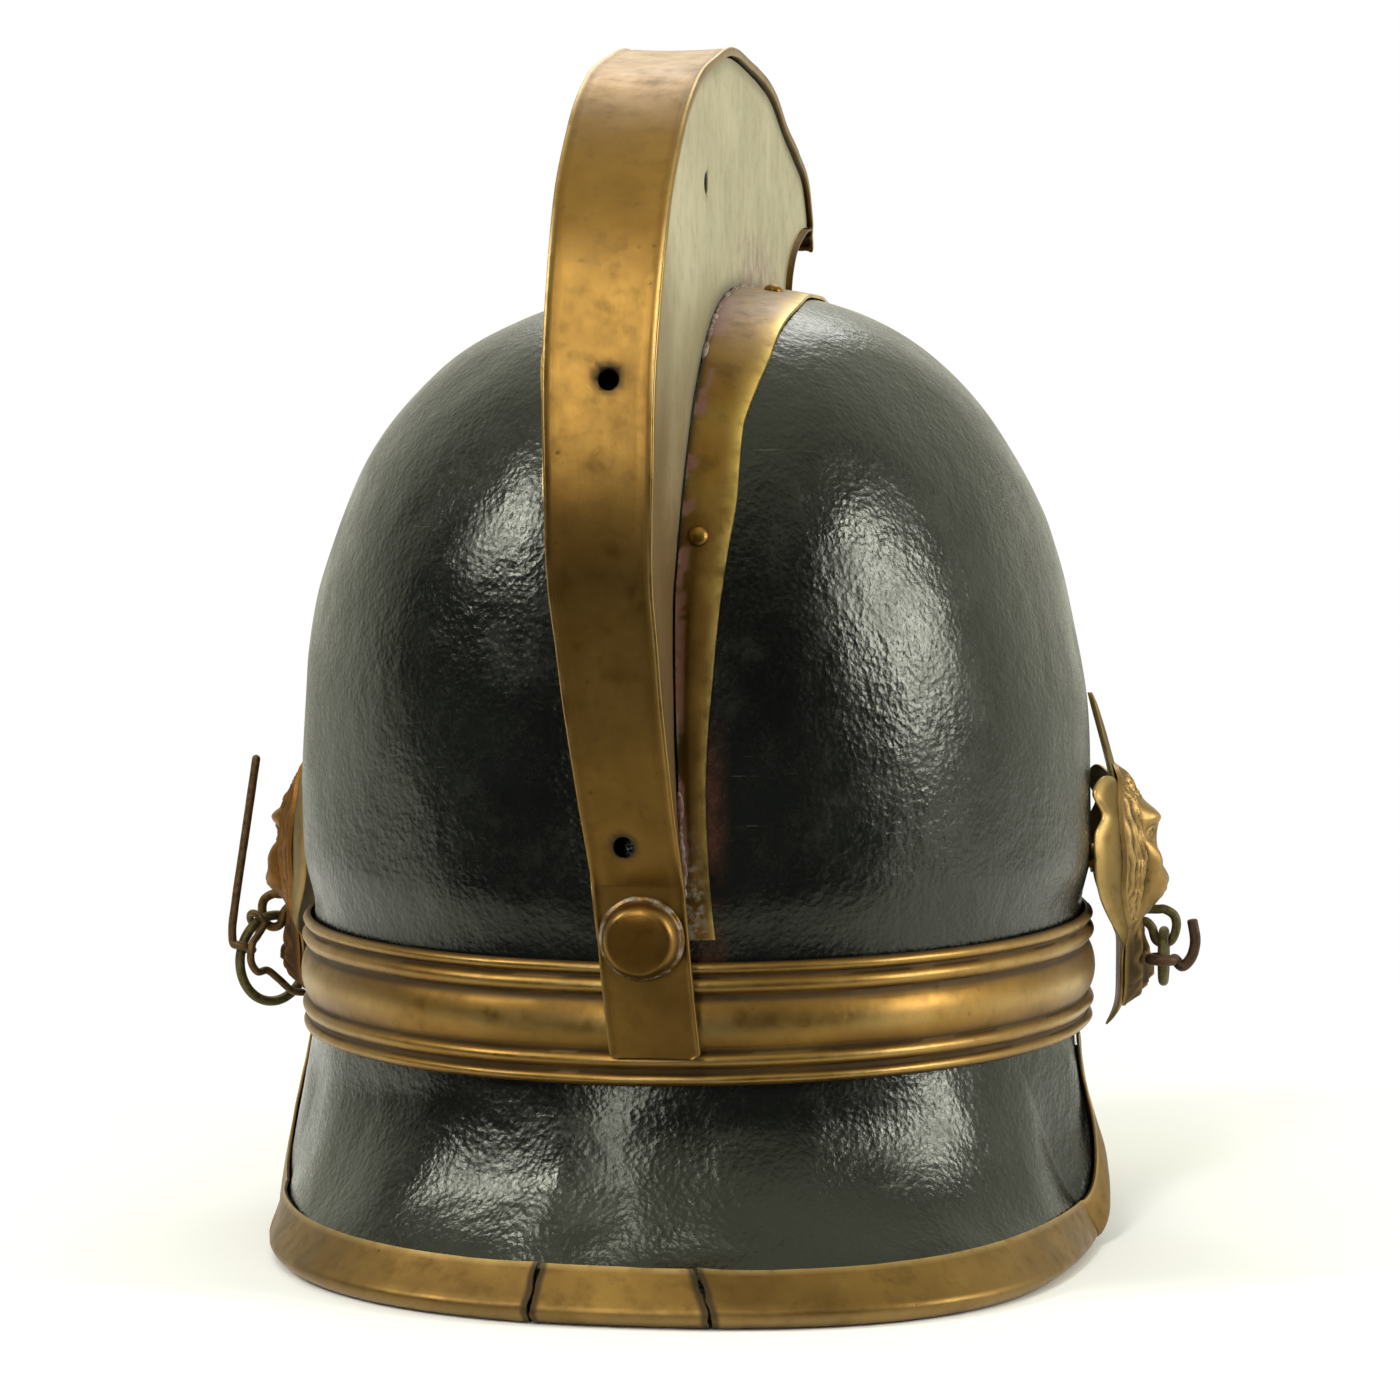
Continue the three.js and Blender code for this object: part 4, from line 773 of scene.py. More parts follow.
def trimMesh(name, flare, node, seed, splits):
    # The folded strip, torn across at its splits: pairs of a place along and how far the torn edge lifts
    trim = flareShape
    ends = [-trim["endShare"]] + [place for place, _ in splits] + [trim["endShare"]]
    angles = np.linspace(0, math.pi, 9)[1:-1]

    def section(offset, past):
        legs = np.linspace(1, 0, 7)
        middle = -trim["leather"] / 2
        half = trim["leather"] / 2 + offset
        share = np.concatenate([legs, np.zeros(len(angles)), legs[::-1]])
        under = np.full(7, -trim["leather"] - offset)
        out = np.concatenate([np.full(7, offset), middle + half * np.cos(angles), under])
        beyond = np.concatenate([np.zeros(7), past * np.sin(angles) ** 0.7, np.zeros(7)])
        return share, out, beyond

    pointsAll, facesAll, wornAll, grimeAndShadeAll, count = [], [], [], [], 0
    for part, (start, end) in enumerate(zip(ends[:-1], ends[1:])):
        tornStart, tornEnd = part > 0, part < len(ends) - 2
        steps = max(12, int(trim["columns"] * (end - start)))
        along = np.linspace(start + trim["splitHalf"] * tornStart, end - trim["splitHalf"] * tornEnd, steps)

        def layer(offset, past, isOuter):
            share, out, beyond = section(offset, past)
            tear = np.zeros((len(share), steps))
            for k, (place, tearDepth) in enumerate(splits):
                near = np.exp(-np.abs(along - place) / trim["splitReach"])
                lift = tearDepth * (1 if (k % 2 == 0) == (part == k) else 0.25)
                tear += near[None] * lift
            size = (len(share), steps)
            down = np.broadcast_to((share * 9 + out)[:, None], size)
            jag = lumps(np.stack([down, np.full(size, 5.0 * part), np.zeros(size)], -1), 3.0, seed) * trim["jag"]
            fromStart = np.exp(-(along - along[0]) / trim["jagReach"]) * tornStart
            fromEnd = np.exp(-(along[-1] - along) / trim["jagReach"]) * tornEnd
            place = along[None] + jag * (fromStart + fromEnd)[None]
            down = mix(1, trimLine(flare, place), share[:, None])
            point = flarePoint(flare, place, down)
            below = flarePoint(flare, place, 1.0) - flarePoint(flare, place, 0.97)
            below /= np.linalg.norm(below, axis=-1, keepdims=True)
            normal = flareNormal(flare, place, down)
            wave = 0.22 * lumps(point * [1, 1, 0.3], 16, seed + 3) + 0.12 * lumps(point, 6, seed + 9)
            off = out[:, None] + np.sign(out[:, None] + trim["leather"] / 2) * (wave + 0.15 + tear)
            grid = point + normal * off[..., None] + below * beyond[:, None, None]
            grid[..., 2] = np.clip(grid[..., 2], 0 if isOuter else 0.6, band["bottom"] - gap)
            return grid

        outer = layer(trim["trimGap"] + trim["trimSheet"], trim["trimGap"] + trim["trimFold"], True)
        inner = layer(trim["trimGap"], trim["trimGap"], False)
        rows = outer.shape[0]
        fold = np.exp(-((np.arange(rows) - rows / 2) / 2.2) ** 2)
        lip = np.zeros(rows)
        lip[0] = lip[-1] = 1
        worn = np.repeat(np.clip(0.5 * fold + 0.55 * lip, 0, 1)[:, None], steps, 1)
        # The torn ends and the strip's inside are darkened: painted shade
        tornEdge = np.zeros(steps)
        tornEdge[:2] = tornStart
        tornEdge[-2:] = tornEnd
        hollow = np.repeat(tornEdge[None] * 0.9, rows, 0)
        pointsAll += [outer.reshape(-1, 3), inner.reshape(-1, 3)]
        facesAll += [[v + count for v in face] for face in sheetFaces(rows, steps, False)]
        wornAll += [worn.ravel(), worn.ravel() * 0]
        grimeAndShadeAll += [hollow.ravel(), np.ones(hollow.size)]
        count += 2 * outer.shape[0] * steps
    piece = makeMesh(name, np.concatenate(pointsAll), facesAll,
                     {"worn": np.concatenate(wornAll), "hollow": np.concatenate(grimeAndShadeAll)})
    settle(piece, "helmet", "aged_brass", trimBrass, node)


flareMesh("neckGuard", flares["guard"], "neck_guard", 11.3)
flareMesh("frontPeak", flares["peak"], "front_peak", 23.9)
trimMesh("neckGuardTrim", flares["guard"], "neck_guard_trim", 4.2, [(-0.057, 0.9), (0.087, 0.55)])
trimMesh("frontPeakTrim", flares["peak"], "front_peak_trim", 8.8, [])
print("leather shell ready")


# Browband: a rolled strip with five beads, in two halves that meet behind the bosses

def bandProfile():
    # Distance out and height of the strip's face, with how much grime and painted shade darkens each point and how
    # worn it is
    rows = []
    z = band["bottom"]
    for height, groove, bulge in zip(band["beads"], band["grooves"], band["bulges"]):
        for share in np.linspace(0, 1, 15 if height > 6 else 10):
            out = math.sin(math.pi * share) ** band["roundPower"] if 0 < share < 1 else 0
            rows.append((band["floor"] + bulge * out, z + height * share, (1 - out) ** 1.6, out ** 6))
        z += height + groove
    return np.array(rows)


def bandMesh(name, rear, node, seed):
    profile = bandProfile()
    sign = 1 if rear else -1
    start = math.asin((band["splitY"] + sign * gap / 2) / (rimHalfDepth + band["floor"]))
    angle = np.linspace(start, sign * math.pi - start, band["steps"])

    def layer(out, z):
        return np.stack([(rimHalfWidth + out) * np.cos(angle), (rimHalfDepth + out) * np.sin(angle),
                         np.broadcast_to(z, (len(z), len(angle)))], -1)

    outer = layer(profile[:, :1], profile[:, 1:2])
    low = np.full((len(profile), 1), band["floor"] - band["sheet"])
    inner = layer(low, np.clip(profile[:, 1:2], band["bottom"] + 0.01, bandTop - 0.01))
    across = np.stack([np.cos(angle), np.sin(angle), np.zeros(len(angle))], -1)
    push = band["beaten"] * lumps(outer * [1, 1, 0.5], band["beatenSize"], seed) - 0.1
    outer = outer + across[None] * (push * smoothStep(profile[:, 0:1], band["floor"], band["floor"] + 1))[..., None]
    # The grooves between the beads darken: grime and painted shade
    hollow = np.repeat(profile[:, 2:3], len(angle), 1)
    worn = np.repeat(profile[:, 3:4], len(angle), 1) * (0.35 + 0.4 * lumps(outer, 30, seed + 5))
    marks = {"hollow": hollow * 0.95, "worn": np.clip(worn, 0, 1)}
    piece = makeSheet(name, outer, inner, False, marks, sharpAngle=60)
    settle(piece, "helmet", "aged_brass", stripBrass, node)


bandMesh("browbandRear", True, "browband_rear", 1.7)
bandMesh("browbandFront", False, "browband_front", 5.3)
print("browband ready")


# Comb: a rolled crown strip over two thin walls, on feet that are riveted to the leather

stripSteps = {"tail": 60, "over": 330, "roll": 13}


def stripSection():
    # Places across the crown strip as offsets from its nearer edge, then how much grime and painted shade darkens
    # each and how worn it is
    outer = [(0.12, -comb["lip"], 0, 0.5), (0, -1.3, 0, 0.4)]
    for angle in np.radians(np.linspace(180, 50, 8)):
        outer.append((0.5 * (1 + math.cos(angle)), -0.3 + 0.5 * math.sin(angle), 0, max(0, math.sin(angle)) ** 2))
    outer += [(1.3, -0.2, 0.3, 0.1), (2.2, -0.32, 0.2, 0)]
    return outer


def loftStrip():
    edge = stripSection()
    zTail = np.linspace(comb["tailZ"], tailTop[2], stripSteps["tail"], endpoint=False)
    lastTurn = comb["endTurn"] - 1.6
    turns = np.linspace(1, lastTurn, stripSteps["over"])
    middle = np.concatenate([np.stack([zTail * 0, tailYAt(zTail), zTail], -1), overSkull(turns, combReach(turns))])
    roll = np.radians(np.linspace(0, 125, stripSteps["roll"] + 1)[1:])
    curl = overSkull(lastTurn + 1.2 * np.sin(roll), combReach(comb["endTurn"], 2.3 * (1 - np.cos(roll))))
    middle = np.concatenate([middle, curl])
    half = np.concatenate([np.full(len(zTail), comb["tailHalf"]), combHalf(turns),
                           np.full(len(roll), comb["crestHalf"])])
    corner = np.clip(zTail - comb["tailZ"], 0, 1.5) / 1.5
    half[:len(zTail)] -= 1.3 * (1 - np.sqrt(1 - (1 - corner) ** 2))
    along = np.gradient(middle, axis=0)
    soft = np.ones(9) / 9
    along = np.stack([np.convolve(np.pad(along[:, k], 4, "edge"), soft, "valid") for k in range(3)], -1)
    along /= np.linalg.norm(along, axis=-1, keepdims=True)
    out = np.stack([along[:, 0] * 0, along[:, 2], -along[:, 1]], -1)
    inside = np.linspace(-1, 1, 17)
    rings, hollow, worn = [], [], []
    for at, normal, wide in zip(middle, out, half):
        left = [(-wide + x, y, deep, rub) for x, y, deep, rub in edge]
        right = [(-x, y, deep, rub) for x, y, deep, rub in reversed(left)]
        flat = [(s * (wide - 3), -comb["dish"] + 0.3 * abs(s) ** 3, 0.12, 0.1) for s in inside]
        # The strip's underside is painted dark: painted shade
        back = [(wide - 1, -comb["lip"], 1, 0), (wide - 1, -comb["sheet"] - 0.2, 1, 0)]
        back += [(s * (wide - 1.3), -comb["sheet"] - comb["dish"], 1, 0) for s in inside[::-1]]
        back += [(-wide + 1, -comb["sheet"] - 0.2, 1, 0), (-wide + 1, -comb["lip"], 1, 0)]
        section = np.array(left + flat + right + back)
        rings.append(at + section[:, :1] * [1, 0, 0] + section[:, 1:2] * normal)
        hollow.append(section[:, 2])
        worn.append(section[:, 3])
    rings, hollow, worn = np.array(rings), np.array(hollow), np.array(worn)
    beaten = 0.16 * lumps(rings, 24, 2.2) + 0.08 * lumps(rings, 7, 4.1)
    rings += out[:, None] * beaten[..., None]
    rings[..., 0] += 0.28 * lumps(np.stack([middle[:, 0] * 0, middle[:, 1], middle[:, 2]], -1), 23, 8.1)[:, None]
    for turn, x in comb["vents"]:
        hole = overSkull(turn, combReach(turn), x)
        away = np.linalg.norm(rings - hole, axis=-1)
        rings -= out[:, None] * (0.8 * np.exp(-((away / 3.4) ** 2)))[..., None]
        # A dark ring round each vent: painted shade and grime
        hollow = np.maximum(hollow, 0.8 * smoothStep(4.4 - away, 0, 1.2))
    worn *= (0.55 + 0.5 * lumps(rings, 26, 9)) * mix(0.35, 1, smoothStep(rings[..., 2], 100, 150))
    return makeLoft("combCrownStrip", drifted(rings), {"hollow": hollow, "worn": np.clip(worn, 0, 1)}, sharpAngle=50)


def bore(piece, place, axis, radius, length):
    # Cuts a round hole, and keeps the result in place of the piece's mesh
    tool = makeTurned("boringTool", [(radius, -length), (radius, length)], place, axis, 40)
    change = piece.modifiers.new("bore", "BOOLEAN")
    change.operation = "DIFFERENCE"
    change.solver = "EXACT"
    change.object = tool
    cutMesh = bpy.data.meshes.new_from_object(piece.evaluated_get(bpy.context.evaluated_depsgraph_get()))
    piece.modifiers.remove(change)
    piece.data = cutMesh
    cutMesh.name = piece.name
    bpy.data.objects.remove(tool)
    away = np.empty(len(cutMesh.vertices) * 3)
    cutMesh.vertices.foreach_get("co", away)
    away = away.reshape(-1, 3) - np.asarray(place) * mm
    line = np.asarray(axis) / np.linalg.norm(axis)
    away = np.linalg.norm(away - (away @ line)[:, None] * line, axis=-1)
    # The hole's wall is darkened: painted shade
    dark = np.empty(len(away))
    cutMesh.attributes["hollow"].data.foreach_get("value", dark)
    cutMesh.attributes["hollow"].data.foreach_set("value", np.maximum(dark, away < radius * 1.04 * mm))


def crownStrip():
    piece = loftStrip()
    for turn, x in comb["vents"]:
        at = drifted(overSkull(turn, combReach(turn), x))
        bore(piece, at, overSkull(turn, 1) - overSkull(turn, 0), comb["ventRadius"], comb["ventReach"])
    settle(piece, "helmet", "aged_brass", stripBrass, "comb_crown_strip")


def frontTurn(up):
    # Where the comb's front lies, by the share of its height
    return np.interp(up, *smoothLine(list(zip(np.linspace(0, 1, 5), comb["frontTurns"]))))


def combWall(name, side, node):
    columns = np.linspace(0, 1, 200)
    rows = np.linspace(0, 1, 34)
    front = frontTurn(rows)
    turn = mix(comb["wallStart"], front[:, None], columns[None])

    def layer(inset):
        x = side * (wallHalf(turn) - inset)
        shift = drift(overSkull(turn, skullReach(turn))[..., 2])
        low = skullReach(turn, x + shift) + gap
        high = combReach(turn, comb["sheet"] + comb["dish"] + 3 * gap)
        return overSkull(turn, mix(low, high, rows[:, None]), x)

    outer, inner = layer(0), layer(comb["sheet"])
    hole = overSkull(comb["holeTurn"], combReach(comb["holeTurn"], comb["rise"] / 2), side * comb["crestHalf"])
    away = np.linalg.norm((outer - hole)[..., 1:], axis=-1)
    sink = 0.45 * (lumps(outer, 26, 3 + side) * 0.5 + 0.5) + 0.12 * (lumps(outer, 9, 6) * 0.5 + 0.5)
    sink = sink + 0.35 * np.exp(-((away / 4.5) ** 2))
    outer[..., 0] -= side * sink
    inner[..., 0] -= side * sink
    level = np.repeat(rows[:, None], len(columns), 1)
    # Darker along the wall's foot and under the crown strip's lip: painted shade and shadow, with dirt
    shadeAndDirt = np.maximum(0.75 * (1 - smoothStep(level, 0, 0.1)), 0.5 * smoothStep(level, 0.93, 1))
    flux = smoothStep(0.34 - level + 0.12 * lumps(outer, 7, 4), 0, 0.2) * smoothStep(turn, 78, 96) * (side < 0)
    flux = np.clip(flux * 0.8, 0, 1) * np.clip(0.6 + lumps(outer, 4, 9), 0, 1)
    brown = smoothStep(54 - turn + 5 * lumps(outer, 20, 2), 0, 22)
    piece = makeSheet(name, drifted(outer), drifted(inner), False, {"hollow": shadeAndDirt, "flux": flux, "brown": brown})
    bore(piece, drifted(hole), (1, 0, 0), comb["holeRadius"], comb["holeReach"])
    settle(piece, "helmet", "pale_brass", wallBrass, node)


def frontPlate():
    shares = np.linspace(0, 1, 40)
    turn = frontTurn(shares)
    low = skullReach(turn) + 2 * gap
    high = combReach(turn, comb["sheet"] + comb["dish"] + 3.8 * gap)
    across = np.linspace(-1, 1, 15)

    def layer(forward):
        radius = mix(low, high, shares)
        return overSkull((turn + np.degrees(forward / radius))[:, None], radius[:, None],
                         across[None] * combHalf(comb["endTurn"]))

    outer, inner = layer(gap + comb["sheet"]), layer(gap)
    bulge = 0.35 * lumps(outer, 16, 12) + 0.1 * lumps(outer, 5, 2)
    outer[..., 1] -= bulge
    # Its side edges darken where they meet the walls: painted shade and dirt
    shadeAndDirt = np.repeat(np.maximum(np.abs(across) ** 12, 0)[None] * 0.7, len(shares), 0)
    piece = makeSheet("combFrontPlate", outer, inner, False, {"hollow": shadeAndDirt, "worn": 0 * shadeAndDirt})
    settle(piece, "helmet", "aged_brass", stripBrass, "comb_front_plate")


def combFoot(name, side, node):
    turn = np.linspace(comb["footStart"], comb["footEnd"], 260)[None]
    across = np.linspace(0, 1, 12)[:, None]
    ends = smoothStep(comb["footEnd"] - turn, 0, 1.6) ** 0.5
    wobble = 0.6 * lumps(np.stack([turn[0], turn[0] * 0, turn[0] * 0 + side], -1), 9, 3)[None]
    wide = footShown(turn, side) + wobble * smoothStep(turn, 10, 40)
    x = side * (wallHalf(turn) + gap + across * wide * mix(0.8, 1, ends))
    shift = drift(overSkull(turn, skullReach(turn))[..., 2])

    def layer(lift):
        return overSkull(turn, skullReach(turn, x + shift, -lift), x + shift)

    loose = 0.22 * (lumps(layer(0), 17, 5 + side) + 0.6) * across
    outer = layer(gap + comb["footSheet"] + np.clip(loose, 0, 1))
    inner = layer(gap + np.clip(loose, 0, 1))
    worn = np.clip(across ** 7 + 0.25 * lumps(outer, 15, 3), 0, 1)
    # Darker next to the wall and round each rivet: painted shade and dirt
    shadeAndDirt = np.broadcast_to(0.85 * np.clip(1 - across * wide / 1.3, 0, 1), worn.shape)
    for rivetTurn in comb["rivetTurns"]:
        away = np.linalg.norm(outer - rivetSeat(side, rivetTurn)[0], axis=-1)
        shadeAndDirt = np.maximum(shadeAndDirt, 0.75 * smoothStep(3.4 - away, 0, 1))
    flux = smoothStep(0.62 - across + 0.25 * lumps(outer, 6, 2), 0, 0.2) * smoothStep(turn, 80, 98)
    flux = np.clip(flux + smoothStep(0.3 - across, 0, 0.15) * (lumps(outer, 9, 5) > 0), 0, 1)
    tinned = smoothStep(9 - turn, 0, 8) * smoothStep(0.95 - across, 0, 0.5)
    tinned = tinned + smoothStep(0.12 - across, 0, 0.1) * smoothStep(lumps(outer, 7, 3), 0, 0.3)
    tinned = tinned * smoothStep(48 - turn, 0, 6)
    piece = makeSheet(name, outer, inner, False, {"hollow": shadeAndDirt, "worn": worn, "flux": flux, "tinned": tinned})
    settle(piece, "helmet", "aged_brass", footBrass, node)


def rivetSeat(side, turn):
    # Where a foot's rivet sits on the leather, and the way it points
    beside = side * (wallHalf(turn) + gap + footWidth(turn) / 2)
    shift = drift(overSkull(turn, skullReach(turn))[..., 2])

    def at(t, x):
        return overSkull(t, skullReach(t, x), x)

    normal = np.cross(at(turn + 1, beside) - at(turn, beside), at(turn, beside + 1) - at(turn, beside))
    normal /= -np.linalg.norm(normal)
    return at(turn, beside + shift), normal * (1 if normal[2] > 0 else -1)


crownStrip()
combWall("combWallLeft", 1, "comb_wall_left")
combWall("combWallRight", -1, "comb_wall_right")
frontPlate()
combFoot("combFootLeft", 1, "comb_foot_left")
combFoot("combFootRight", -1, "comb_foot_right")


# Rivets: one domed head and one clenched tail, set out by a node tree

def newTree(name, **kinds):
    # A geometry node tree with a geometry input and output, and other inputs by kind and default
    tree = bpy.data.node_groups.new(name, "GeometryNodeTree")
    tree.interface.new_socket("Geometry", in_out="INPUT", socket_type="NodeSocketGeometry")
    for label, (kind, value) in kinds.items():
        socket = tree.interface.new_socket(label, in_out="INPUT", socket_type=kind)
        if value is not None:
            socket.default_value = value
    tree.interface.new_socket("Geometry", in_out="OUTPUT", socket_type="NodeSocketGeometry")
    return tree, tree.nodes.new("NodeGroupInput").outputs, tree.nodes.new("NodeGroupOutput").inputs


def growMesh(piece, tree, name, **values):
    # Runs a node tree on a piece and returns a new piece with the result as its mesh
    change = piece.modifiers.new(tree.name, "NODES")
    change.node_group = tree
    for item in tree.interface.items_tree:
        if item.in_out == "INPUT" and item.name in values:
            change[item.identifier] = values[item.name]
    grown = bpy.data.meshes.new_from_object(piece.evaluated_get(bpy.context.evaluated_depsgraph_get()))
    grown.name = name
    result = placeObject(name, grown)
    bpy.data.objects.remove(piece)
    return result


def finishTree(tree, geometry, finish, result):
    # Real geometry in one material, as the tree's result
    real = addNode(tree, "GeometryNodeRealizeInstances", {"Geometry": geometry})
    done = addNode(tree, "GeometryNodeSetMaterial", {"Geometry": real.outputs[0], "Material": finish})
    tree.links.new(done.outputs[0], result["Geometry"])


def setOut(name, places, normals, twists=None):
    # Bare points that carry the direction of what stands on them
    mesh = bpy.data.meshes.new(name)
    mesh.from_pydata(inMetres(places), [], [])
    if twists is None:
        twists = np.tile([0.0, 0.0, 1.0], (len(places), 1))
    for mark, ways in (("stands", normals), ("faces", twists)):
        mesh.attributes.new(mark, "FLOAT_VECTOR", "POINT").data.foreach_set("vector", np.ravel(ways).astype(float))
    return placeObject(name, mesh)


def placingTree():
    # Sets a copy of an object on each point, standing along the point's own direction
    tree, given, result = newTree("setOnPoints", Piece=("NodeSocketObject", None),
                                  Finish=("NodeSocketMaterial", None), Seed=("NodeSocketInt", 3),
                                  Uneven=("NodeSocketFloat", 0.08))
    stands, faces = (addNode(tree, "GeometryNodeInputNamedAttribute", {"Name": label}, data_type="FLOAT_VECTOR")
                     for label in ("stands", "faces"))
    upright = addNode(tree, "FunctionNodeAlignRotationToVector", {"Vector": stands.outputs["Attribute"]}, axis="Z")
    turned = addNode(tree, "FunctionNodeAlignRotationToVector", {"Rotation": upright.outputs[0],
                     "Vector": faces.outputs["Attribute"]}, axis="X", pivot_axis="Z")
    size = addNode(tree, "FunctionNodeRandomValue", {2: minus(tree, 1.0, given["Uneven"]),
                   3: plus(tree, 1.0, given["Uneven"]), "Seed": given["Seed"]}, data_type="FLOAT")
    copy = addNode(tree, "GeometryNodeObjectInfo", {"Object": given["Piece"]})
    each = addNode(tree, "GeometryNodeInstanceOnPoints", {
        "Points": given["Geometry"], "Instance": copy.outputs["Geometry"], "Rotation": turned.outputs[0],
        "Scale": size.outputs[1]})
    finishTree(tree, each.outputs[0], given["Finish"], result)
    return tree


rivet = {"radius": 2.2, "dome": 1.4, "shank": 1.1, "washer": 1.5, "seat": 2 * gap + comb["footSheet"]}


def combRivets():
    tail = skull["wall"] + rivet["dome"] + 2 * gap
    dome = [(rivet["radius"] * math.cos(a) + 0.02, rivet["seat"] - 0.25 + rivet["dome"] * math.sin(a))
            for a in np.radians(np.linspace(0, 88, 8))]
    inside = [(0, -tail - rivet["dome"]), (rivet["washer"], -tail - 1.2), (rivet["radius"], -tail - 0.5),
              (rivet["radius"], -tail)]
    profile = inside + [(rivet["shank"], -tail), (rivet["shank"], rivet["seat"] - 0.3)] + dome + [(0, dome[-1][1])]
    single = makeTurned("singleRivet", profile, -helmetMiddle / mm, (0, 0, 1), 24)
    seats = [rivetSeat(side, turn) for side in (1, -1) for turn in comb["rivetTurns"]]
    points = setOut("rivetPoints", [place for place, _ in seats], [normal for _, normal in seats])
    piece = growMesh(points, placer, "combRivets", Piece=single, Finish=stripBrass)
    bpy.data.objects.remove(single)
    nodes = [f"comb_rivet_{side}_{i}" for side in ("left", "right") for i in (1, 2, 3)]
    settle(piece, "helmet", "aged_brass", stripBrass, *nodes)


placer = placingTree()
combRivets()


# Knob at the comb's tail, and old solder along the walls

knob = {"radius": 10, "flat": 7.7, "height": 6.5, "z": 85.3, "stud": 2.4, "studLength": 32.3, "seat": 0.45,
        "beaten": 0.12, "beatenSize": 4.0}


def combKnob():
    x = float(drift(knob["z"]))
    axis = np.array([0, 1, -tailSlope]) / math.hypot(1, tailSlope)
    face = np.array([x, tailYAt(knob["z"]), knob["z"]]) + axis * (knob["seat"] + gap)
    r, h, flat = knob["radius"], knob["height"], knob["flat"]
    stud, cap = knob["stud"], r * 0.9
    profile = [(0, -knob["studLength"]), (stud, -knob["studLength"]), (stud, 0), (cap, 0), (r * 0.97, 0.25), (r, 0.9),
               (r * 0.98, 1.3), (cap + 0.25, 1.5), (cap, 1.9)]
    profile += [(mix(cap, flat - 1.2, 1 - math.cos(s)), mix(1.9, h, math.sin(s))) for s in np.linspace(0.15, 1.5, 9)]
    profile += [(flat * 0.55, h + 0.12), (flat * 0.25, h + 0.2), (0, h + 0.2)]
    piece = makeTurned("combKnob", profile, face, axis, 72, sharpAngle=55)
    fromFace = np.array([np.array(v.co) / mm - helmetMiddle / mm - face for v in piece.data.vertices])
    radii = np.linalg.norm(np.cross(fromFace, axis), axis=1)
    heights = fromFace @ axis
    worn = np.exp(-((radii - flat) / 0.8) ** 2) * (heights > 4)
    tinned = smoothStep(radii, 8.7, 9.2) * (heights > 0.7)
    # The knob's foot is darkened where it meets the strip: painted shade
    keepMarks(piece.data, {"worn": worn * 0.3, "hollow": (heights < 0.5) * 0.9, "tinned": tinned})
    for v, radius in zip(piece.data.vertices, radii):
        if radius > stud + 0.6:
            place = np.array(v.co) / mm
            v.co += Vector(axis * knob["beaten"] * noise.noise(Vector(place / knob["beatenSize"])) * mm)
    settle(piece, "helmet", "aged_brass", knobBrass, "comb_knob")


def solderSeam(name, side, start, end, seed):
    # A crumbled bead of solder where a wall meets its foot, from one turn to another
    turn = np.linspace(start, end, 150)
    x = side * (wallHalf(turn) + 0.25)
    shift = drift(overSkull(turn, skullReach(turn))[..., 2])
    base = overSkull(turn, skullReach(turn, x + shift, -gap - comb["footSheet"] * 0.7), x + shift)
    angle = np.linspace(0, 2 * np.pi, 10, endpoint=False)
    thick = 0.35 + 0.75 * np.clip(lumps(base, 5, seed) + 0.35, 0, 1) + 0.3 * lumps(base, 1.7, seed)
    thick *= smoothStep(turn, start, start + 2) * smoothStep(end - turn, 0, 2)
    thick = np.clip(thick, 0.05, 1.6)[:, None]
    radial = np.stack([0 * turn, np.cos(np.radians(turn)), np.sin(np.radians(turn))], -1)[:, None]
    rings = base[:, None] + thick[..., None] * (np.cos(angle)[None, :, None] * np.array([1, 0, 0])
                                                + 0.8 * np.sin(angle)[None, :, None] * radial)
    rings += 0.12 * lumps(rings, 1.3, seed)[..., None]
    flux = np.clip(lumps(rings, 8, seed + 4) * 1.2, 0, 0.7)
    piece = makeLoft(name, rings, {"flux": flux})
    settle(piece, "helmet", "aged_brass", solder)


combKnob()
solderSeam("solderTopRight", -1, 56, 119, 1.5)
solderSeam("solderTopLeft", 1, 44, 84, 3.5)
solderSeam("solderTailLeft", 1, 0, 9, 6.5)
solderSeam("solderTailRight", -1, -2, 12, 7.5)
print("comb ready")


# Side bosses: a scalloped plate and a cast lion's head. Along is to the back, out is off the plate.

plateShares = [(0, 1), (0.1, 0.8), (0.2, 0.6), (0.36, 0.5), (0.7, 0.53), (0.9, 0.44), (0.84, 0.31), (0.97, 0.2),
               (1, 0), (0.92, -0.18), (0.76, -0.33), (0.54, -0.45), (0.34, -0.53), (0.29, -0.62), (0.28, -0.8),
               (0.16, -0.93), (0, -1)]
headShares = [(0, 1), (0.45, 0.97), (0.78, 0.78), (0.97, 0.45), (1, 0.05), (0.97, -0.2), (0.8, -0.38), (0.56, -0.5),
              (0.47, -0.68), (0.42, -0.86), (0.24, -0.98), (0, -1)]
bendLine = smoothLine([(-1, 0.5), (-0.85, 0.15), (-0.5, 0.1), (-0.2, 0.03), (0.1, 0), (0.5, 0.4), (1, 1.12)])
bossSides = {"left": 1, "right": -1}


def onBoss(side, along, up, out):
    along, up, out = np.broadcast_arrays(*(np.asarray(v, float) for v in (along, up, out)))
    toe = math.radians(boss["toe"])
    x = side * boss["stand"] + along * side * math.sin(toe) + out * side * math.cos(toe)
    y = boss["y"] + along * math.cos(toe) - out * math.sin(toe)
    return np.stack([x, y, boss["z"] + up], -1)


def bossOut(side):
    toe = math.radians(boss["toe"])
    return np.array([side * math.cos(toe), -math.sin(toe), 0])


def bothSides(shares, half, top, bottom):
    right = [(a * half, u * (top if u > 0 else bottom)) for a, u in shares]
    return np.array(right + [(-a, u) for a, u in right[-2:0:-1]])


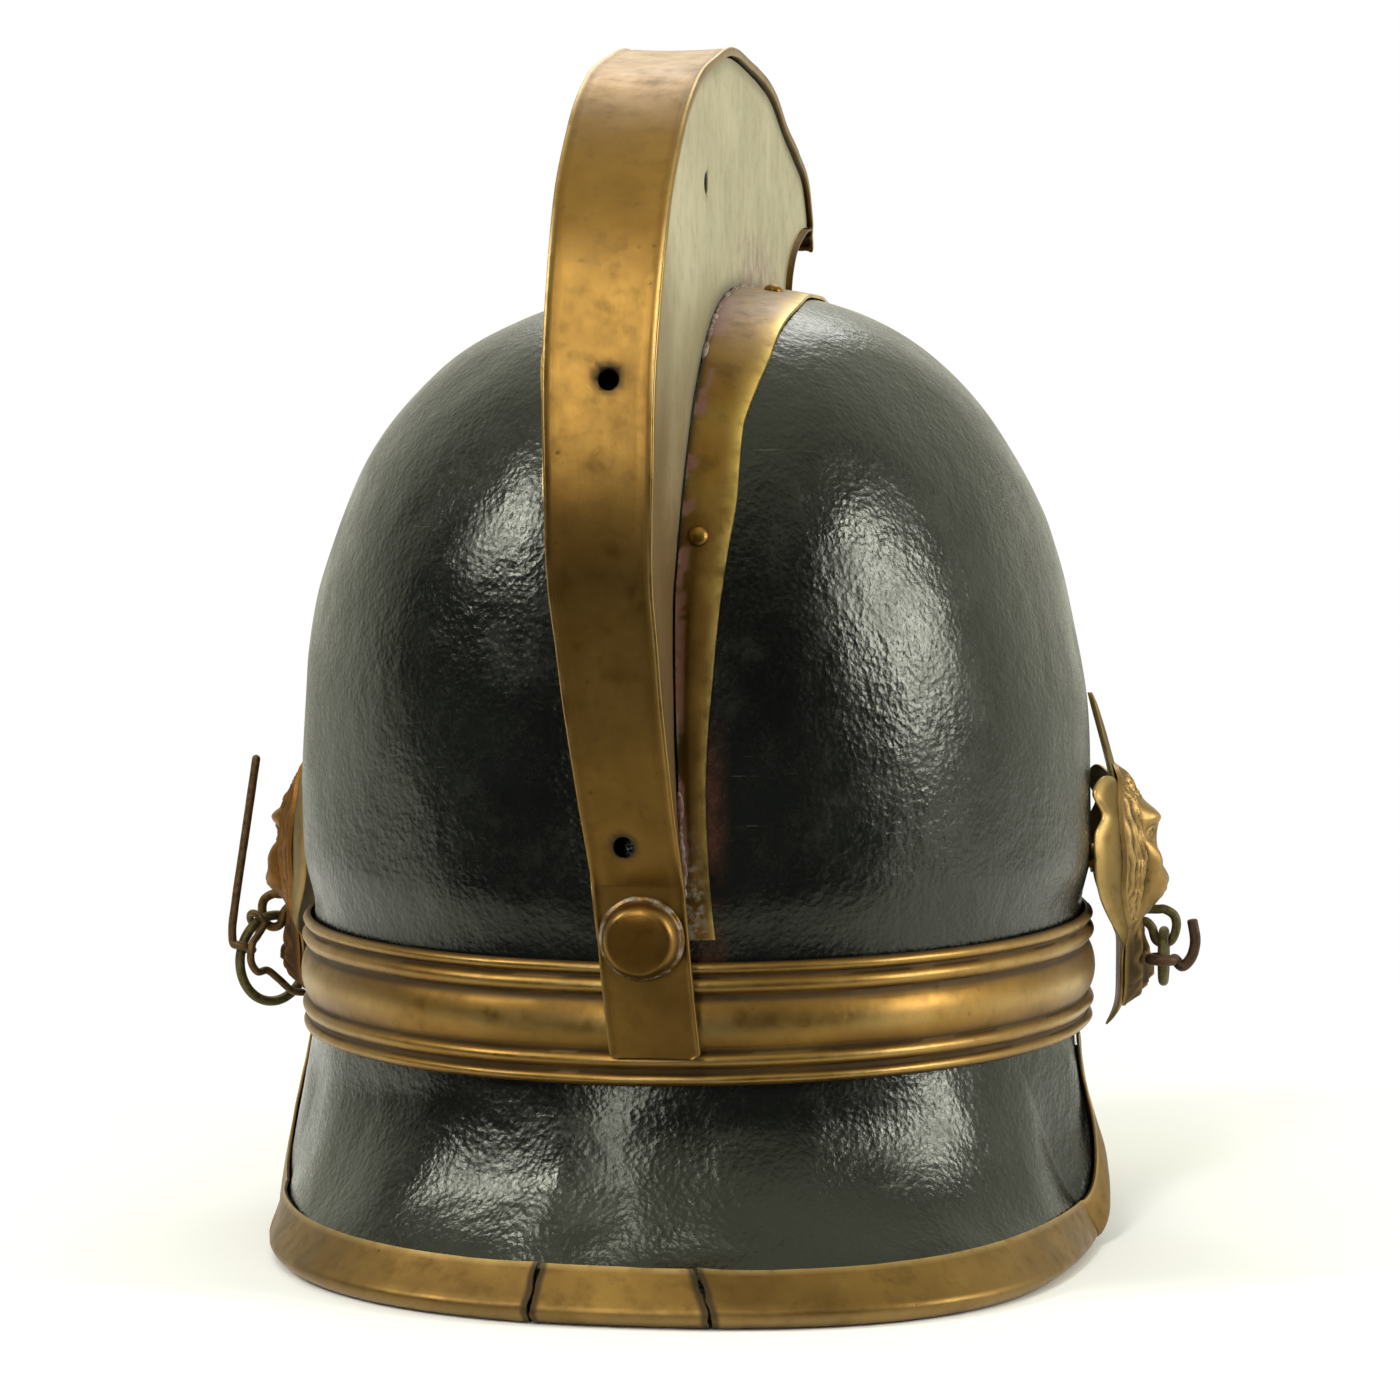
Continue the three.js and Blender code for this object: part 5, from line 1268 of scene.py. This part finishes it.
def plateFace(along, up):
    # How far out the plate's face lies: its lobes bend back to the shell, the rear one most
    height = np.where(up > 0, up / boss["top"], up / boss["bottom"])
    lean = np.interp(height, *bendLine) * boss["camber"] * boss["bowl"]
    bent = np.clip((np.abs(along) / boss["half"] - boss["bendFrom"]) / (1 - boss["bendFrom"]), 0, 1) ** 1.5
    return -lean - boss["camber"] * bent * np.where(along > 0, boss["rearBend"], 1)


def outlineGrid(outline, count, ringShares):
    edge = catmullRom(np.column_stack([outline, outline[:, 0] * 0]), count, True)[:, :2]
    return edge[None] * ringShares[:, None, None]


def bump(along, up, middle, level, wide, tall, height):
    # A soft bump in millimetres, on both sides of the middle unless it lies on it
    rise = 0
    for side in ((0,) if middle == 0 else (-1, 1)):
        rise = rise + height * np.exp(-((along - side * middle) / wide) ** 2 - ((up - level) / tall) ** 2)
    return rise


# How far out the casting's middle stands at each level, from the beard's end to the forelock
faceLine = smoothLine([(-38.5, 0.5), (-36.5, 4.6), (-33, 6.6), (-29.5, 7.2), (-25, 5.6), (-20, 4.6), (-15.5, 5.0),
                       (-12, 6.6), (-9, 8.0), (-6.6, 9.6), (-4.4, 10.8), (-0.8, 9.2), (4.2, 8.0), (9.2, 8.3),
                       (12.4, 7.2), (15.5, 4.4), (18.5, 2.2), (21.5, 1.3), (25, -1.5)])
faceHalf = [(-38, 5.6), (-30, 7.6), (-19, 8.6), (-12, 8.9), (0, 9.4), (11, 9.2), (17, 7.4), (25, 6.0)]
lionForms = [
    # middle, level, half width, half height, rise
    (4.4, 11.4, 2.9, 2.1, 1.5),  # brows
    (5.3, 6.8, 2.5, 2.0, -3.0),  # eye sockets
    (5.5, 6.9, 1.45, 1.2, 2.4),  # eyes
    (7.3, 0.4, 2.7, 4.3, 2.0),  # cheeks
    (3.9, -8.4, 3.0, 3.4, 2.0),  # muzzle
    (3.7, 1.6, 1.3, 4.4, -1.5),  # hollows beside the nose
    (1.9, -7.3, 0.7, 0.6, -1.5),  # nostrils
    (0, 12.2, 0.8, 3.0, -1.0),  # furrow between the brows
    (0, -11.2, 0.45, 2.2, -1.0),  # cleft of the lip
    (0, -18.4, 3.0, 2.0, 1.1),  # chin
    (11.7, 14.8, 2.2, 2.9, 2.3),  # ears
    (11.5, 14.6, 1.0, 1.6, -2.0),  # hollows of the ears
    (0, -34.4, 2.4, 2.2, 1.3),  # end of the beard
    (4.3, -31.5, 1.9, 3.0, 1.1),  # curls of the beard
]


def wireRoom(side, along, up):
    # How far out the casting may stand where the ring, link and hook swing past it
    if side > 0:
        return 3.3 + 0.5 * np.minimum(along, 2) + 0.4 * np.maximum(along - 2, 0) + 9 * smoothStep(up, -30.2, -27.5)
    return mix(8.2, 4.2, smoothStep(along, -5, -0.5)) + 9 * smoothStep(up, -16, -13.5)


def lionRelief(side, along, up, rim):
    # The casting's height over its plate. The left head's face sits lower than the right one's.
    slip = boss["leftSlip"] if side > 0 else 0
    level = up + slip * smoothStep(up, -15, -8) * smoothStep(25 - up, 0, 7)
    beside = np.abs(along)
    ground = 2.5 * (1 - rim ** 5)
    middle = np.interp(level, *faceLine) - plateFace(0 * up, up) - boss["edge"]
    half = np.interp(level, *zip(*faceHalf))
    dome = np.clip(1 - (beside / half) ** 2.3, 0, 1) ** 0.75
    rise = ground + np.maximum(middle - ground, 0) * dome * (1 - rim ** 10)
    for form in lionForms:
        rise = rise + bump(along, level, *form) * (1 - rim ** 6)
    mouth = (up + 14.6 + 0.03 * along ** 2) / 0.9
    rise = rise - 2.4 * np.exp(-mouth ** 2) * smoothStep(7.2 - beside, 0, 2)
    lid = np.hypot((beside - 5.5) / 2.2, (level - 6.9) / 1.75)
    rise = rise + 0.7 * np.exp(-((lid - 1) / 0.22) ** 2)
    wave = lumps(np.stack([along, up, 0 * up], -1), 4.2, 2.4)
    hair = smoothStep(beside / half, 0.96, 1.12) * (1 - rim ** 9)
    hair = np.maximum(hair, smoothStep(level, 15, 18) * (1 - rim ** 9)) * smoothStep(up, -18, -14)
    strands = np.sin(beside * 3.7 + 1.5 * np.sin(up * 0.85) + 3.0 * wave)
    finer = np.sin(beside * 7.9 + 2.0 * np.sin(up * 0.7 + 1) + 4.5 * wave)
    rise = rise + hair * (0.5 * strands + 0.2 * finer)
    beard = smoothStep(-up, 17, 21) * (1 - rim ** 8)
    curls = np.sin(beside * 3.1 + 1.3 * np.sin(up * 0.6) + 2.8 * wave)
    rise = rise + beard * (0.95 * curls + 0.35 * np.sin(beside * 6.4 + up * 0.5 + 3.5 * wave) - 0.3)
    whiskers = np.sin(level * 3.4 + beside * 0.6) * np.exp(-((beside - 4.3) / 2) ** 2 - ((level + 8.5) / 2.6) ** 2)
    if side < 0:
        rise = rise + 3.2 * np.exp(-((along + 5) / 2.6) ** 2 - ((up + 28.5) / 6) ** 2) * (1 - rim ** 6)
    room = wireRoom(side, along, up) - plateFace(along, up) - boss["edge"]
    return np.maximum(np.minimum(rise + 0.12 * whiskers, room), 0.35)


def lionHead(name, side, finish, node):
    shares = np.linspace(0, 1, 92)[1:] ** 0.9
    flat = outlineGrid(bothSides(headShares, boss["headHalf"], boss["headTop"], boss["headBottom"]), 270, shares)
    along, up = flat[..., 0], flat[..., 1]
    rim = np.repeat(shares[:, None], flat.shape[1], 1)
    rise = lionRelief(side, along, up, rim)

    def sunk(step):
        # How far each point lies below those this far round it
        near = ((step, 0), (-step, 0), (0, step), (0, -step))
        return sum(lionRelief(side, along + a, up + u, rim) for a, u in near) / 4 - rise

    narrow, wide = sunk(0.55), sunk(2)
    # Concave places and the beard are darkened: painted shade, with grime
    hollow = np.clip(np.maximum(narrow * 5.0, wide * 0.7) + 0.9 * smoothStep(-up, 16, 22), 0, 1)
    worn = np.clip(-wide * 0.55 - 0.1, 0, 1) * smoothStep(rise, 4, 9)
    outer = onBoss(side, along, up, plateFace(along, up) + boss["edge"] + rise)
    inner = onBoss(side, along, up, plateFace(along, up) + gap)
    piece = closedDisc(name, outer, inner, {"hollow": hollow, "worn": worn})
    settle(piece, "helmet", "boss_brass", finish, node)


def closedDisc(name, outer, inner, marks, **how):
    # A closed body between two fans of rings, the innermost ring of each filled in
    rows, columns = outer.shape[:2]
    shift = rows * columns
    innermost = {tuple(sorted((i, i + shift, (i + 1) % columns + shift, (i + 1) % columns))) for i in range(columns)}
    faces = [face for face in sheetFaces(rows, columns, True) if tuple(sorted(face)) not in innermost]
    faces.append(list(range(columns)))
    faces.append(list(range(shift, shift + columns))[::-1])
    both = {mark: np.concatenate([np.ravel(v), np.ravel(v) * 0]) for mark, v in marks.items()}
    return makeMesh(name, np.concatenate([outer.reshape(-1, 3), inner.reshape(-1, 3)]), faces, both, **how)


def bossPlate(name, side, finish, node):
    shares = np.linspace(0, 1, 48)[1:] ** 0.8
    flat = outlineGrid(bothSides(plateShares, boss["half"], boss["top"], boss["bottom"]), 300, shares)
    along, up = flat[..., 0], flat[..., 1]
    rim = np.repeat(shares[:, None], flat.shape[1], 1)
    blade = smoothStep(up, 17, 25)
    ridge = 1.1 * blade * np.clip(1 - np.abs(along) / 3.2, 0, 1)
    lobe = 0.55 * smoothStep(rim, 0.62, 0.86) * (1 - smoothStep(rim, 0.9, 1)) - 0.5 * smoothStep(rim, 0.94, 1)
    beaten = 0.22 * lumps(np.stack([along, up, 0 * up + 3 * side], -1), 8, 1.4)
    face = plateFace(along, up)
    outer = onBoss(side, along, up, face + (ridge + lobe * (1 - blade)) * (1 - rim ** 20 * 0.5) + beaten)
    inner = onBoss(side, along, up, face - boss["sheet"] + 0.2 * rim ** 12)
    # Darker round where the lion's head sits: painted shade
    hollow = 0.8 * smoothStep(2.4 - np.hypot(along / 1.0, up / 1.35) / 8.2, 0, 0.9) * (1 - blade)
    worn = 0.75 * smoothStep(rim, 0.9, 0.98)
    piece = closedDisc(name, outer, inner, {"hollow": hollow * 0.6, "worn": worn}, sharpAngle=50)
    settle(piece, "helmet", "boss_brass", finish, node)


def bossStud(name, side, node):
    width = skullRadii(boss["z"])[0] * math.sqrt(1 - (boss["y"] / skull["halfDepth"]) ** 2)
    foot = (boss["stand"] - width) / math.cos(math.radians(boss["toe"]))
    end = -(foot + skull["wall"] + 4 * gap + boss["nut"])
    r, c, under = boss["stud"], boss["collar"], -boss["sheet"] - 3 * gap
    profile = [(0, end), (r - 0.4, end), (r, end + 0.4), (r, 2 * gap - foot), (c * 0.6, 2 * gap - foot)]
    profile += [(c * wide, -foot * deep) for wide, deep in ((0.66, 0.75), (0.8, 0.62), (0.97, 0.53), (1, 0.42))]
    profile += [(c, under - 0.6 * gap), (c - 0.3, under), (0, under)]
    piece = makeTurned(name, profile, onBoss(side, 0, 0, 0), bossOut(side), 48)
    settle(piece, "helmet", "aged_brass", stripBrass, node)


for sideName, sideSign in bossSides.items():
    finish = castBrassBrown if sideName == "left" else castBrass
    label = sideName.capitalize()
    bossPlate(f"bossPlate{label}", sideSign, plateBrass, f"boss_plate_{sideName}")
    lionHead(f"lionHead{label}", sideSign, finish, f"lion_head_{sideName}")
    bossStud(f"bossStud{label}", sideSign, f"boss_stud_{sideName}")
print("bosses ready")


# Wire fittings: eyes in the lions' mouths, rings, hooks and a link, swept by one node tree

wires = {"eye": 1.2, "eyeHalf": 3.2, "eyeDrop": 22, "eyeTop": 13.2, "eyeStand": 10, "leftRing": 11.4,
         "rightRing": 6.4, "ring": 1.3, "hook": 1.1, "link": 1.0, "jHook": 1.4, "play": 0.45, "hookHeight": 50,
         "hookLean": 6.5, "hookBow": 1, "jReach": 5.2, "jTip": 10.5, "jTipRound": 0.5}
eyeShares = [(-2.03, 0), (-0.47, 0), (0, 0), (0.8, 0.18), (1, 0.49), (0.6, 0.91), (0, 1), (-0.6, 0.91), (-1, 0.52),
             (-1.5, 0.36), (-2.03, 0.39)]
linkShares = [(0.74, 0.62, 0.33), (1.01, 0.46, 0.47), (1.08, 0.08, 0.5), (0.84, -0.2, 0.44), (0.48, -0.21, 0.35),
              (0.12, -0.44, 0.31), (-0.3, -0.76, 0.31), (-0.68, -0.84, 0.32)]
jHookShares = [(0.35, -0.16), (0.75, 0.02), (0.98, 0.42), (0.82, 1)]
hookShares = [(0.07, 0.9), (0.2, 1), (0.6, 0.5), (1, 0)]


def sweepTree():
    # A wire of round section along a line of edges; each point says how thick it is
    tree, given, result = newTree("wireSweep", Radius=("NodeSocketFloat", 0.001), Finish=("NodeSocketMaterial", None))
    line = addNode(tree, "GeometryNodeMeshToCurve", {"Mesh": given["Geometry"]})
    thick = addNode(tree, "GeometryNodeInputNamedAttribute", {"Name": "thick"}, data_type="FLOAT")
    size = addNode(tree, "ShaderNodeMath", {0: thick.outputs["Attribute"], 1: given["Radius"]}, operation="MULTIPLY")
    sized = addNode(tree, "GeometryNodeSetCurveRadius", {"Curve": line.outputs[0], "Radius": size.outputs[0]})
    ring = addNode(tree, "GeometryNodeCurvePrimitiveCircle", {"Resolution": 20, "Radius": 1.0})
    swept = addNode(tree, "GeometryNodeCurveToMesh", {"Curve": sized.outputs[0], "Profile Curve": ring.outputs[0],
                                                      "Fill Caps": True})
    if "Scale" in swept.inputs:
        radius = addNode(tree, "GeometryNodeInputRadius")
        tree.links.new(radius.outputs[0], swept.inputs["Scale"])
    smooth = addNode(tree, "GeometryNodeSetShadeSmooth", {"Geometry": swept.outputs[0]})
    finishTree(tree, smooth.outputs[0], given["Finish"], result)
    return tree


def makeWire(name, path, radius, finish, closed=False, thick=None):
    mesh = bpy.data.meshes.new(name)
    count = len(path)
    edges = [(i, (i + 1) % count) for i in range(count if closed else count - 1)]
    mesh.from_pydata(inMetres(path), edges, [])
    if thick is None:
        thick = np.ones(count)
    keepMarks(mesh, {"thick": thick * (1 + 0.03 * lumps(path, 3.5, radius))})
    piece = growMesh(placeObject(name, mesh), sweeper, name, Radius=radius * mm, Finish=finish)
    piece.data.set_sharp_from_angle(angle=math.radians(50))
    return piece


def settleWire(name, path, radius, finish, body, node, **how):
    settle(makeWire(name, path, radius, finish, **how), body, "iron", finish, node)


def reachAlong(path):
    return np.concatenate([[0], np.cumsum(np.linalg.norm(np.diff(path, axis=0), axis=1))])


def roundEnd(path, radius, start=False, end=True):
    # Thins a wire to a rounded tip
    reach = reachAlong(path)
    thick = np.ones(len(path))
    for wanted, away in ((start, reach), (end, reach[-1] - reach)):
        if wanted:
            thick *= np.sqrt(np.clip(1 - (1 - np.clip(away / radius, 0, 1)) ** 2, 0.02, 1))
    return thick


def onLeftRing(degrees):
    across, up = math.cos(math.radians(degrees)), math.sin(math.radians(degrees))
    out = across * leftOutward + up * upwards
    return leftRingMiddle + wires["leftRing"] * out, across * upwards - up * leftOutward, out


def loopRound(place, along, out, radius, start, end):
    aside = np.cross(along, out)
    angle = np.radians(np.linspace(start, end, 9))[:, None]
    return place + radius * (np.cos(angle) * out + np.sin(angle) * aside)


def finerEnd(path, count=200):
    # Evenly spaced points on a path, closer at its two ends
    reach = reachAlong(path)
    ends = np.array([0, 0.1, 0.3, 0.6, 1.0])
    at = np.concatenate([ends, np.linspace(1.5, reach[-1] - 1.5, count), reach[-1] - ends[::-1]])
    return np.stack([np.interp(at, reach, path[:, k]) for k in range(3)], -1)


def eyePath(side):
    out, down = np.array(eyeShares).T
    up = -mix(wires["eyeTop"], wires["eyeDrop"], down)
    return catmullRom(onBoss(side, 0, up, wires["eyeStand"] + wires["eyeHalf"] * out), 160)


def ringPath(middle, radius, outward):
    turn = np.linspace(0, 2 * np.pi, 120, endpoint=False)[:, None]
    return middle + radius * (np.cos(turn) * outward + np.sin(turn) * upwards)


def ringMiddle(side, radius):
    # A ring hangs in the eye's lowest bend
    hang = wires["eye"] + wires["ring"] + 2 * gap
    return onBoss(side, 0, -wires["eyeDrop"], wires["eyeStand"]) + [0, 0, hang - radius]


sweeper = sweepTree()
backwards, upwards = np.array([0, 1.0, 0]), np.array([0, 0, 1.0])
leftOutward, leftBehind = np.array([0.6, 0.8, 0]), np.array([-0.8, 0.6, 0])
leftRingMiddle, rightRingMiddle = ringMiddle(1, wires["leftRing"]), ringMiddle(-1, wires["rightRing"])

settleWire("mouthEyeLeft", eyePath(1), wires["eye"], brassWire, "helmet", "mouth_eye_left")
settleWire("mouthEyeRight", eyePath(-1), wires["eye"], oliveWire, "helmet", "mouth_eye_right")
settleWire("leftRing", ringPath(leftRingMiddle, wires["leftRing"], leftOutward), wires["ring"], oliveWire,
           "left_ring", "left_ring", closed=True)
settleWire("rightRing", ringPath(rightRingMiddle, wires["rightRing"], backwards), wires["ring"], oliveWire,
           "right_ring", "right_ring", closed=True)


def leftHook():
    loop = loopRound(*onLeftRing(20), wires["ring"] + wires["play"] + wires["hook"], 230, 0)
    foot = loop[-1]
    tip = foot + [-wires["hookLean"], 0, wires["hookHeight"]]
    shank = [mix(foot, tip, up) + [wires["hookBow"] * out, 0, 0] for up, out in hookShares]
    path = finerEnd(catmullRom(np.vstack([loop, shank]), 260))
    settleWire("leftHook", path, wires["hook"], ironWire, "left_hook", "left_hook",
               thick=roundEnd(path, wires["hook"]))


def leftLink():
    loop = loopRound(*onLeftRing(62), wires["ring"] + wires["play"] + wires["link"], -170, 90)
    bends = [leftRingMiddle + wires["leftRing"] * (leftOutward * out + leftBehind * back + upwards * up)
             for out, up, back in linkShares]
    path = finerEnd(catmullRom(np.vstack([loop, bends]), 260))
    settleWire("leftLink", path, wires["link"], ironWire, "left_link", "left_link",
               thick=roundEnd(path, wires["link"], True))


def rightHook():
    seat = rightRingMiddle + wires["rightRing"] * backwards
    loop = loopRound(seat, upwards, backwards, wires["ring"] + wires["play"] + wires["jHook"], -170, 90)
    bends = [loop[-1] + [-wires["jReach"] * out, 0, wires["jTip"] * up] for out, up in jHookShares]
    path = finerEnd(catmullRom(np.vstack([loop, bends]), 260))
    settleWire("rightHook", path, wires["jHook"], rustyWire, "right_hook", "right_hook",
               thick=roundEnd(path, wires["jTipRound"], True))


leftHook()
leftLink()
rightHook()
print("wire fittings ready")


# Lining: a stitched sweatband, and a liner cut into tongues

lining = {"width": 91.2, "depth": 110.2, "bandSheet": 1.3, "bandTop": 80, "sheet": 1.2, "top": 196, "spring": 86,
          "hole": 14, "tongues": 8, "slot": 4, "stitchStep": 5.2, "stitchUp": 4.0, "stitchHalf": 1.55, "thread": 0.34,
          "rows": 16, "columns": 240}


def sweatband():
    angle = np.linspace(0, 2 * np.pi, lining["columns"], endpoint=False)
    z = np.linspace(skull["rim"], lining["bandTop"], lining["rows"])

    def layer(inset):
        width, depth = lining["width"] - inset, lining["depth"] - inset
        grid = np.stack(np.broadcast_arrays(width * np.cos(angle), depth * np.sin(angle), z[:, None]), -1)
        across = np.stack([np.cos(angle), np.sin(angle), 0 * angle], -1)
        wave = 0.5 * lumps(grid * [1, 1, 0.4], 22, 4.4) * smoothStep(z, skull["rim"], skull["rim"] + 10)[:, None]
        return grid + across[None] * (wave - 0.3)[..., None]

    outer, inner = layer(0), layer(lining["bandSheet"])
    outer[..., :2] *= 1 - 0.0004
    piece = makeSheet("sweatband", outer, inner, True)
    settle(piece, "helmet", "brown_leather", sweatBrown, "sweatband")


def stitches():
    # Saddle stitches that hold the sweatband's lower edge
    length = 2 * np.pi * math.sqrt((lining["width"] ** 2 + lining["depth"] ** 2) / 2)
    count = int(length / lining["stitchStep"])
    angle = np.linspace(0, 2 * np.pi, count, endpoint=False)
    width, depth = (lining[key] - lining["bandSheet"] - 0.25 for key in ("width", "depth"))
    level = 0 * angle + skull["rim"] + lining["stitchUp"]
    places = np.stack([width * np.cos(angle), depth * np.sin(angle), level], -1)
    inward = -np.stack([np.cos(angle) / width, np.sin(angle) / depth, 0 * angle], -1)
    tangent = np.stack([-np.sin(angle) * width, np.cos(angle) * depth, 0 * angle], -1)
    t = np.linspace(-1, 1, 9)
    path = np.stack([lining["stitchHalf"] * t, 0 * t, 0.42 * (1 - t ** 4) - 0.3], -1) - helmetMiddle / mm
    single = makeWire("singleStitch", path, lining["thread"], thread, thick=1 - 0.45 * t ** 8)
    points = setOut("stitchPoints", places, inward, tangent)
    piece = growMesh(points, placer, "sweatbandStitches", Piece=single, Finish=thread, Seed=11)
    bpy.data.objects.remove(single)
    settle(piece, "helmet", "brown_leather", thread)


def liner():
    outset = lining["bandSheet"] + gap
    points, faces, count = [], [], 0
    base = np.array([skull["rim"] + gap, 64, 76, lining["spring"] + 2])
    rise = np.linspace(0, 0.93, 44)[len(base):]

    def profile(inset):
        # Heights up the liner, and its width at each as a share of that at the base
        z = np.concatenate([base, mix(lining["spring"], lining["top"] - inset, np.sin(np.pi / 2 * rise))])
        return z, np.concatenate([np.ones(len(base)), np.cos(np.pi / 2 * rise) ** 0.85])

    def around(angle, inset):
        z, size = profile(inset)
        width = np.maximum(lining["hole"], (lining["width"] - inset) * size)[:, None]
        depth = np.maximum(lining["hole"], (lining["depth"] - inset) * size)[:, None]
        reach = 1 / np.sqrt((np.cos(angle) / width) ** 2 + (np.sin(angle) / depth) ** 2)

        def grid():
            return np.stack([reach * np.cos(angle), reach * np.sin(angle), z[:, None] + 0 * reach], -1)

        reach = reach + (0.7 * lumps(grid(), 24, 9.2) - 0.5) * smoothStep(z, 60, 100)[:, None]
        return grid()

    step = 2 * np.pi / lining["tongues"]
    across = np.linspace(0, 1, 22)
    for k in range(lining["tongues"]):
        middle = k * step
        z, size = profile(outset)
        reach = np.maximum(lining["hole"], lining["width"] * size)
        slot = np.where(z > lining["spring"] + lining["slot"], lining["slot"] / 2 + 0.1, 0.0)
        tip = np.clip((z[-1] - z) / 1.2, 0, 1)
        half = step / 2 - np.arcsin(slot / reach) - (1 - np.sqrt(1 - (1 - tip) ** 2)) * 0.1
        angle = middle + (2 * across[None] - 1) * half[:, None]
        outer, inner = around(angle, outset), around(angle, outset + lining["sheet"])
        rows, columns = outer.shape[:2]
        points += [outer.reshape(-1, 3), inner.reshape(-1, 3)]
        shift = rows * columns
        solidFaces = sheetFaces(rows, columns, False)
        joined = {(j * columns + c, (j + 1) * columns + c) for j in range(len(base) - 1) for c in (0, columns - 1)}
        kept = [f for f in solidFaces if not any({a, b} <= set(f) and any(v >= shift for v in f) for a, b in joined)]
        faces += [[v + count for v in f] for f in kept]
        count += 2 * shift
    piece = makeMesh("liner", np.concatenate(points), faces, {}, merge=0.02)
    settle(piece, "helmet", "brown_leather", liningBrown, "liner")


sweatband()
stitches()
liner()

for node in ("comb_knob_nut", "boss_nut_left", "boss_nut_right"):
    piece = bpy.data.objects[node]
    for slot in piece.material_slots:
        slot.material = ironWire
    softened = piece.modifiers.new("softened", "BEVEL")
    softened.width = 0.35 * mm
    softened.segments = 2
print("lining ready")
